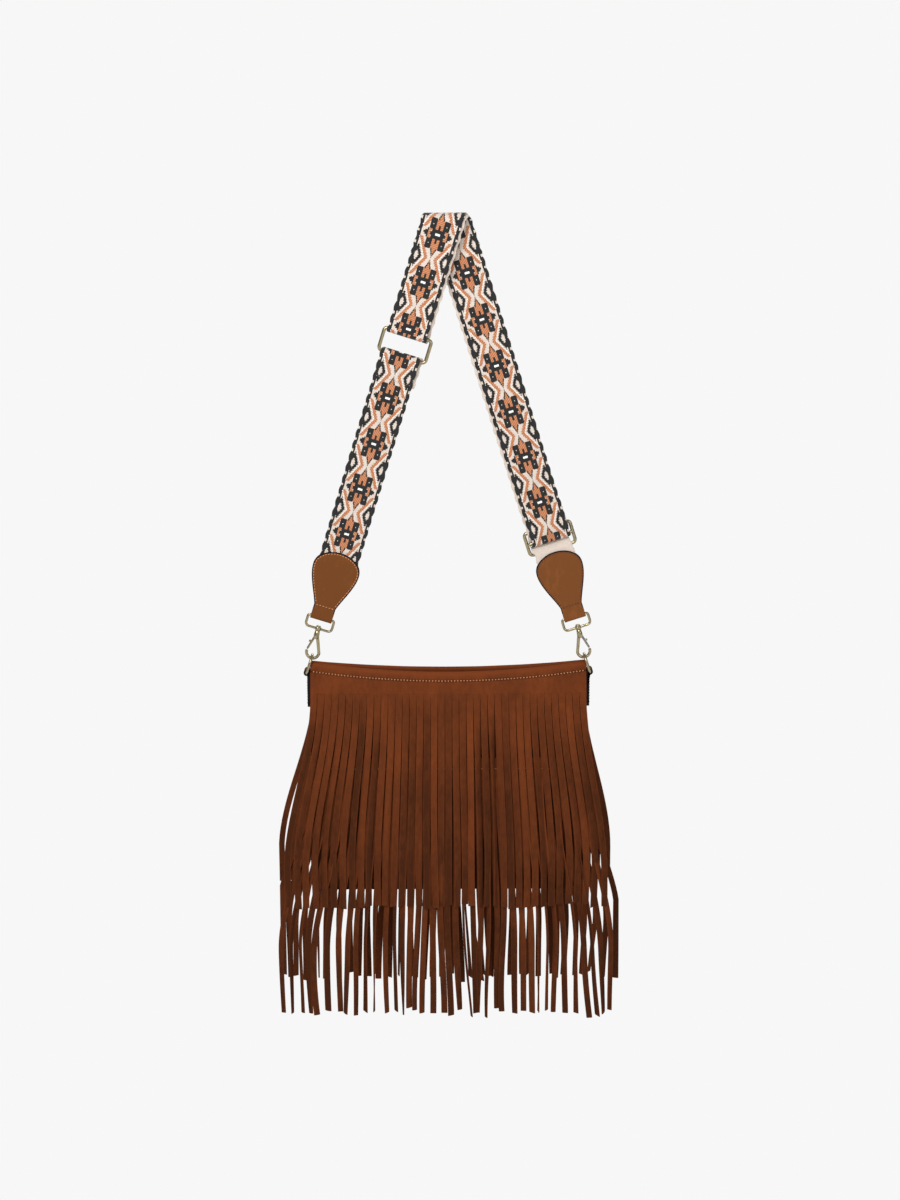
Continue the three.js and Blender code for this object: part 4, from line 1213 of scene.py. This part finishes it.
def panel(face, name):
    columns, rows = 48, 28

    def place(i, j):
        x0 = -1 + 2 * i / columns
        z = blend(mouth_z(x0 * BAG_HALF_WIDTH) - 1.4, BASE_Z + 0.2, j / rows)
        x = x0 * half_width(z)
        sway = soft_wave(x, z) * math.sin(math.pi * j / rows) * (1 - x0 * x0) * 0.6
        return Vector((x, face * (half_depth(x, z) - 0.8 + min(sway, 0.6)), z)), Vector((0, face, 0))

    thick_sheet(columns, rows, place, SUEDE - 0.6).piece(name, raw_suede, "bag", "suede", [name])


panel(FRONT, "front_panel")
panel(BACK, "back_panel")


def gusset_line():
    top = MOUTH_CORNER_Z - 1
    edge = BAG_HALF_WIDTH
    points = [Vector((-edge, blend(top, BASE_Z + BASE_CORNER, k / 16))) for k in range(16)]
    corner = (-edge + BASE_CORNER, BASE_Z + BASE_CORNER)
    points += [p.to_2d() for p in arc(corner, BASE_CORNER, 180, 270, 12)]
    end = points[:]
    for k in range(1, 24):
        points.append(Vector((blend(-edge + BASE_CORNER, edge - BASE_CORNER, k / 24), BASE_Z)))
    return points + [Vector((-p.x, p.y)) for p in reversed(end)]


def outward(line, i):
    """The direction out of the bag from a place on the gusset's line."""
    way = (line[min(i + 1, len(line) - 1)] - line[max(i - 1, 0)]).normalized()
    return Vector((way.y, 0, -way.x))


def gusset():
    line = gusset_line()
    rows = 8

    def place(i, j):
        out = outward(line, i)
        half = half_depth(*line[i]) - SUEDE + 0.9
        share = -1 + 2 * j / rows
        fold = 0.5 * math.cos(share * math.pi / 2)
        return Vector((line[i].x, share * half, line[i].y)) - out * fold, out

    strip_shape = thick_sheet(len(line) - 1, rows, place, SUEDE)
    strip_shape.piece("gusset", bag_suede, "bag", "suede", ["gusset"])
    seams = Shape()
    for face in (FRONT, BACK):
        run = []
        for i in range(2, len(line) - 2):
            out = outward(line, i)
            half = half_depth(*line[i]) - SUEDE - 1.6
            run.append((Vector((line[i].x, face * half, line[i].y)) - out * 0.15, out))
        seams.join(stitched(run, 3.8, radius=0.3, rise=0.12))
    seams.piece("gusset_stitching", tan_thread, "bag", "suede")


gusset()


# --- Lining and snap --------------------------------------------------------------------------
# A loose cotton lining hangs from the hem, and a magnetic snap with plated discs closes the mouth.
lining_cloth = Finish("lining_cotton", 0.9)
cloth_grain = lining_cloth.noise(1800, 2)
lining_cloth.set(base_color=lining_cloth.paint(tone(52, 33, 24), tone(78, 52, 38), cloth_grain))
lining_cloth.bump(cloth_grain, 0.08)
LINING_DEPTH = 3.2


def lining():
    columns, rows = 40, 22
    around = [(-1 + 2 * i / columns, FRONT) for i in range(columns + 1)]
    around += [(1 - 2 * i / columns, BACK) for i in range(columns + 1)]

    def skin(wall, turn):
        rings = []
        for j in turn:
            ring = []
            for x0, face in around:
                top = mouth_z(x0 * BAG_HALF_WIDTH) - 8
                z = blend(top, BASE_Z + 5 + wall, j / rows)
                x = x0 * (half_width(z) - 9.5 - wall)
                crease = abs(1.4 * math.sin(x / 13 + face * 2) * math.sin(math.pi * j / rows))
                y = max(half_depth(x, z) - LINING_DEPTH - wall - crease, 0.4)
                ring.append(Vector((x, face * y, z)))
            rings.append(ring)
        return rings

    rings = skin(0, range(rows, -1, -1)) + skin(1, range(rows + 1))
    Shape().skin(rings).piece("lining", lining_cloth, "bag", "lining", ["lining"])


lining()

SNAP_Z = -541
SNAP_WELL = [(3.6, 2.5), (3.2, 2.9), (2.6, 2.9), (2.3, 1.6), (0.01, 1.5)]
SNAP_STUD = [(3.6, 2.5), (3.2, 2.9), (2.5, 3.0), (2.3, 4.4), (1.9, 4.6), (0.01, 4.6)]
for name, face, middle in (("snap_socket", BACK, SNAP_WELL), ("snap_stud", FRONT, SNAP_STUD)):
    low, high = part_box(name)
    rim = (high[0] - low[0]) * 500
    profile = [(0.01, 0), (rim - 0.6, 0), (rim, 0.5), (rim, 2.2), (rim - 0.5, 2.8)]
    profile += [(rim - 1.4, 3.0), (rim - 2.0, 2.6), *middle]
    turn = Matrix.Rotation(math.pi if face == BACK else 0, 4, "X")
    back = max(abs(low[1]), abs(high[1])) * 1000
    back = min(back, half_depth(0, SNAP_Z) - LINING_DEPTH - 0.6)
    place = Matrix.Translation((0, face * back, SNAP_Z)) @ turn
    disc = Shape().skin(turned(profile, 36)).placed(place)
    disc.piece(name, gold, "bag", "gold_metal", [name])


# --- Fringe -----------------------------------------------------------------------------------
# Two rows on each face, each cut from one piece of suede into strips below a sewn band. The upper
# row is folded over at the mouth and topstitched. Strips hang free, twist, lean and lie over their
# neighbours, and the outer ones spread round the ends of the bag.
STRIPS = 39
SLIT = 0.8
UPPER_BAND_Z = -533
UPPER_END_Z = -779
LOWER_TOP_Z = -606
LOWER_SEAM_Z = -618
LOWER_BAND_Z = -628
LOWER_END_Z = {FRONT: -913, BACK: -898}
FRINGE_LIFT = 60
FRINGE_REACH = 199
FREE_LENGTH = 250  # how far below its band a strip has come to hang freely
SHADE_FALL = 0.38  # how much painted shade darkens a strip at that depth
STRIP_THICK = 1.5
HEM_SEAM = 9.6  # the topstitching lies this far below the edge of the mouth
STRIP_PITCH = 2 * BAG_HALF_WIDTH / STRIPS


def over_panel(x, z, lift):
    """How far the back of a fringe row stands from the middle of the bag."""
    rise = limit((mouth_z(x) - z) / FRINGE_LIFT, 0, 1)
    return half_depth(x, z) + 0.3 + rise * lift


HEM_HEIGHT = 29
HEM_FACE = (  # depth below the edge of the mouth and distance out, down the outer face to a groove
    (HEM_HEIGHT, 1.8), (24, 1.8), (19, 1.85), (14, 1.9), (11.4, 1.8), (10.2, 1.45),
    (HEM_SEAM, 1.2), (9, 1.5), (8, 2.3), (6.2, 2.9), (4.2, 3.1), (2.4, 2.9), (1, 2.3),
)
HEM_FOLD = (  # over the edge, down behind it and back up to the panel
    (0.2, 1.3), (-0.1, 0.2), (0.1, -1.2), (0.9, -2.4), (2.4, -3.3), (5, -3.7), (8, -3.6),
    (9.6, -3.3), (10.6, -3), (10.8, -2.4), (10.4, -2.1), (2.4, -1.9), (1.3, -1), (1.4, 0.2),
    (HEM_HEIGHT, 0.3),
)
SEAM_BAND = (
    (LOWER_BAND_Z - 1, 1.3), (LOWER_SEAM_Z - 2, 1.3), (LOWER_SEAM_Z, 0.9),
    (LOWER_SEAM_Z + 2, 1.3), (LOWER_TOP_Z, 1.2), (LOWER_TOP_Z, 0), (LOWER_BAND_Z - 1, 0),
)


def hem_band(shape, face, lift):
    """The upper row's top: turned in at the mouth, with a groove at its topstitching."""
    outline = HEM_FACE + HEM_FOLD
    columns = 80
    rings = []
    for i in range(columns + 1):
        x = blend(-BAG_HALF_WIDTH, BAG_HALF_WIDTH, i / columns)
        top = mouth_z(x)
        ripple = 0.25 * math.sin(x / 9 + 0.7 * face) * math.sin(x / 31)
        ring = []
        for down, out in outline:
            z = top - down * ((top - UPPER_BAND_Z) / HEM_HEIGHT if down > 12 else 1)
            base = over_panel(x, z, lift if down > 0 else 0)
            ring.append(Vector((x, face * max(base + out + ripple * (out > 0), 0.2), z)))
        rings.append(ring)
    # Painted shade darkens the groove at the topstitching.
    tone_and_shade = [0.62 - 0.6 * math.exp(-((d - HEM_SEAM - 0.4) / 0.9) ** 2) for d, _ in outline]
    # A painted highlight lightens the fold at the mouth's edge.
    wear_and_highlight = [0.9 * math.exp(-((d - 1.5) / 2.6) ** 2) for d, _ in outline]
    shape.skin(rings, tone_and_shade=[tone_and_shade] * (columns + 1), wear_and_highlight=[wear_and_highlight] * (columns + 1))


def seam_band(shape, face, lift):
    """The lower row's top, sewn flat to the panel."""
    columns = 60
    rings = []
    for i in range(columns + 1):
        x = blend(-BAG_HALF_WIDTH, BAG_HALF_WIDTH, i / columns)
        rings.append([Vector((x, face * (over_panel(x, z, lift) + out), z)) for z, out in SEAM_BAND])
    shape.skin(rings, tone_and_shade=[0.5] * (columns + 1))


def drift():
    """A slow wander from strip to strip, so that neighbours hang alike and part here and there."""
    waves = []
    for _ in range(5):
        rate = random.uniform(0.15, 0.9)
        phase = random.uniform(0, math.tau)
        waves.append((rate, phase, random.uniform(0.4, 1.0)))

    def value(index):
        return sum(size * math.sin(index * rate + phase) for rate, phase, size in waves) / 1.6

    return value


def strip_habit(index, wild, wander):
    """How one strip hangs: its lean, sway, twist, curl, length and shade."""
    edge_on = random.random() < 0.2 * (wild - 0.5)
    lean = wander[0](index) * 2.6 + random.gauss(0, 1.1)
    sway = wander[1](index) * 1.2 + random.gauss(0, 0.5)
    twist = random.gauss(0, 0.2)
    if edge_on:
        twist += random.choice((-1, 1)) * random.uniform(0.8, 1.4)
    return {
        "lean": lean * wild,
        "sway": sway * wild,
        "phase": wander[2](index) * 0.9,
        "twist": twist,
        "late_twist": random.gauss(0, 0.55) * (wild - 0.4),
        "curl": random.uniform(-0.3, 0.9),
        "layer": random.choice((0.0, 0.5, 1.0)),
        "length": wander[1](index) * 1.5 + random.gauss(0, 1.6) * wild,
        "cut": random.gauss(0, 0.06),
        "tone_and_shade": random.gauss(0.5, 0.16),
        "slit_from": random.uniform(3, 24),
    }


def strip(shape, face, x0, width, row, habit):
    """One strip of fringe, from its band to its cut end."""
    columns = 5
    steps = row["steps"]
    rings, tone_and_shade_rows, rows_wear_and_highlight = [], [], []
    side = math.copysign(1, x0)
    share_out = abs(x0) / BAG_HALF_WIDTH
    spread = row["spread"] + (12 if face == BACK else 0) + (10 if x0 < 0 else 0)
    end = row["end"][face] + habit["length"]
    for j in range(steps + 1):
        t = j / steps
        z = blend(row["top"] + 0.6, end, t)
        down = max(row["top"] - z, 0)
        fallen = down / FREE_LENGTH
        loose = fallen ** 1.4
        opening = limit(fallen * 1.2, 0, 1)
        opening = opening * opening * (3 - 2 * opening)

        x = x0 * (1 + row["flare"] * opening)
        x += side * spread * opening * share_out ** 2.2
        x += habit["lean"] * loose
        x += habit["sway"] * 2.4 * math.sin(fallen * 4.2 + habit["phase"]) * loose
        x = limit(x, -FRINGE_REACH, FRINGE_REACH)
        y = over_panel(x0, z, row["lift"]) + 0.3
        y += habit["layer"] * 1.5 * limit(fallen * 2.5, 0, 1)
        y += math.sin(fallen * 5 + habit["phase"] * 2) * limit(fallen, 0, 1)
        if z < BASE_Z:  # below the bag the strips fall in a little
            y -= row["fall_in"] * limit((BASE_Z - z) / 130, 0, 1) ** 1.3

        turn = habit["twist"] * limit(fallen * 3, 0, 1)
        turn += habit["late_twist"] * limit(t * 2 - 1, 0, 1) ** 2
        turn += face * side * 0.5 * share_out ** 8 * limit(opening * 2, 0, 1)
        along = Vector((math.cos(turn), face * math.sin(turn), 0))
        out = Vector((-math.sin(turn), face * math.cos(turn), 0))
        centre = Vector((x, face * (y + STRIP_THICK / 2), z))
        wide = blend(STRIP_PITCH - 0.03, width, limit(down / habit["slit_from"], 0, 1))
        curl = habit["curl"] * limit(fallen * 4, 0, 1)
        # The cut edges are lighter: edge wear with a painted highlight.
        edge_wear_and_highlight = 0.35 * limit(t * 8, 0, 1)
        ring, ring_wear_and_highlight = [], []
        for level in (1, -1):
            for k in range(columns + 1):
                c = level * (-1 + 2 * k / columns)
                at_edge = abs(c) == 1
                rise = level * (0.5 if at_edge else 1) * STRIP_THICK / 2 + curl * (1 - c * c)
                p = centre + along * (c * wide / 2) + out * rise
                if j == steps:
                    p.z += habit["cut"] * c * width * 1.5
                ring.append(p)
                ring_wear_and_highlight.append(edge_wear_and_highlight if at_edge else 0.0)
        rings.append(ring)
        rows_wear_and_highlight.append(ring_wear_and_highlight)
        # Each strip's own tone, with painted shade that darkens it further down.
        tone_and_shade = blend(0.55, habit["tone_and_shade"], limit(fallen * 5, 0, 1))
        tone_and_shade_rows.append(limit(tone_and_shade - SHADE_FALL * fallen, 0, 1))
    shape.skin(rings, tone_and_shade=tone_and_shade_rows, wear_and_highlight=rows_wear_and_highlight)


def fringe(face, name, row):
    """One row of fringe: a band and its strips, hung as one sheet of suede."""
    shape = Shape()
    row["make_band"](shape, face, row["lift"])
    wander = [drift() for _ in range(3)]
    for i in range(STRIPS):
        x0 = (i + 0.5) * STRIP_PITCH - BAG_HALF_WIDTH
        habit = strip_habit(i, row["wild"], wander)
        width = STRIP_PITCH - row["slit"]
        if row["uneven"]:
            width -= random.uniform(0, row["uneven"])
        strip(shape, face, x0, width, row, habit)
    sheet = shape.piece(name, bag_suede, "bag", "suede", [name], crease=60)
    free = (row["top"] - row["end"][face]) / 1000
    wide = 2 * BAG_HALF_WIDTH / 1000
    fixed = (row["band"] + row["turned_in"]) / 1000
    area = wide * fixed + STRIPS * (STRIP_PITCH - SLIT) / 1000 * free


UPPER_ROW = {
    "top": UPPER_BAND_Z, "end": {FRONT: UPPER_END_Z, BACK: UPPER_END_Z}, "lift": 3.6,
    "make_band": hem_band, "band": HEM_HEIGHT, "turned_in": 12, "slit": 0.5, "uneven": 0,
    "wild": 0.55, "flare": 0.085, "spread": 11, "fall_in": 2.45, "steps": 26,
}
LOWER_ROW = {
    "top": LOWER_BAND_Z, "end": LOWER_END_Z, "lift": 0.9,
    "make_band": seam_band, "band": LOWER_TOP_Z - LOWER_BAND_Z, "turned_in": 0,
    "slit": SLIT, "uneven": 1.4,
    "wild": 1.35, "flare": 0.12, "spread": 16, "fall_in": 7, "steps": 34,
}


def seam_across(face, row, inset_x, steps, level, sunk):
    """A line across a band at a height that level gives for each x."""
    line = []
    for k in range(steps + 1):
        x = blend(-BAG_HALF_WIDTH + inset_x, BAG_HALF_WIDTH - inset_x, k / steps)
        z = level(x)
        y = over_panel(x, z, row["lift"]) + sunk
        line.append((Vector((x, face * y, z)), Vector((0, face, 0))))
    return line


for face, word in ((FRONT, "front"), (BACK, "back")):
    fringe(face, word + "_upper_fringe", UPPER_ROW)
    fringe(face, word + "_lower_fringe", LOWER_ROW)
    hem_line = seam_across(face, UPPER_ROW, 2, 80, lambda x: mouth_z(x) - HEM_SEAM, 1.2)
    hem_seam = stitched(hem_line, 3.6, share=0.46, radius=0.75, rise=0.5)
    hem_seam.piece(word + "_hem_stitching", tan_thread, "bag", "suede")
    lower_line = seam_across(face, LOWER_ROW, 3, 60, lambda x: LOWER_SEAM_Z, 0.9)
    lower_seam = stitched(lower_line, 3.8, radius=0.3, rise=0.12)
    lower_seam.piece(word + "_lower_seam_stitching", tan_thread, "bag", "suede")
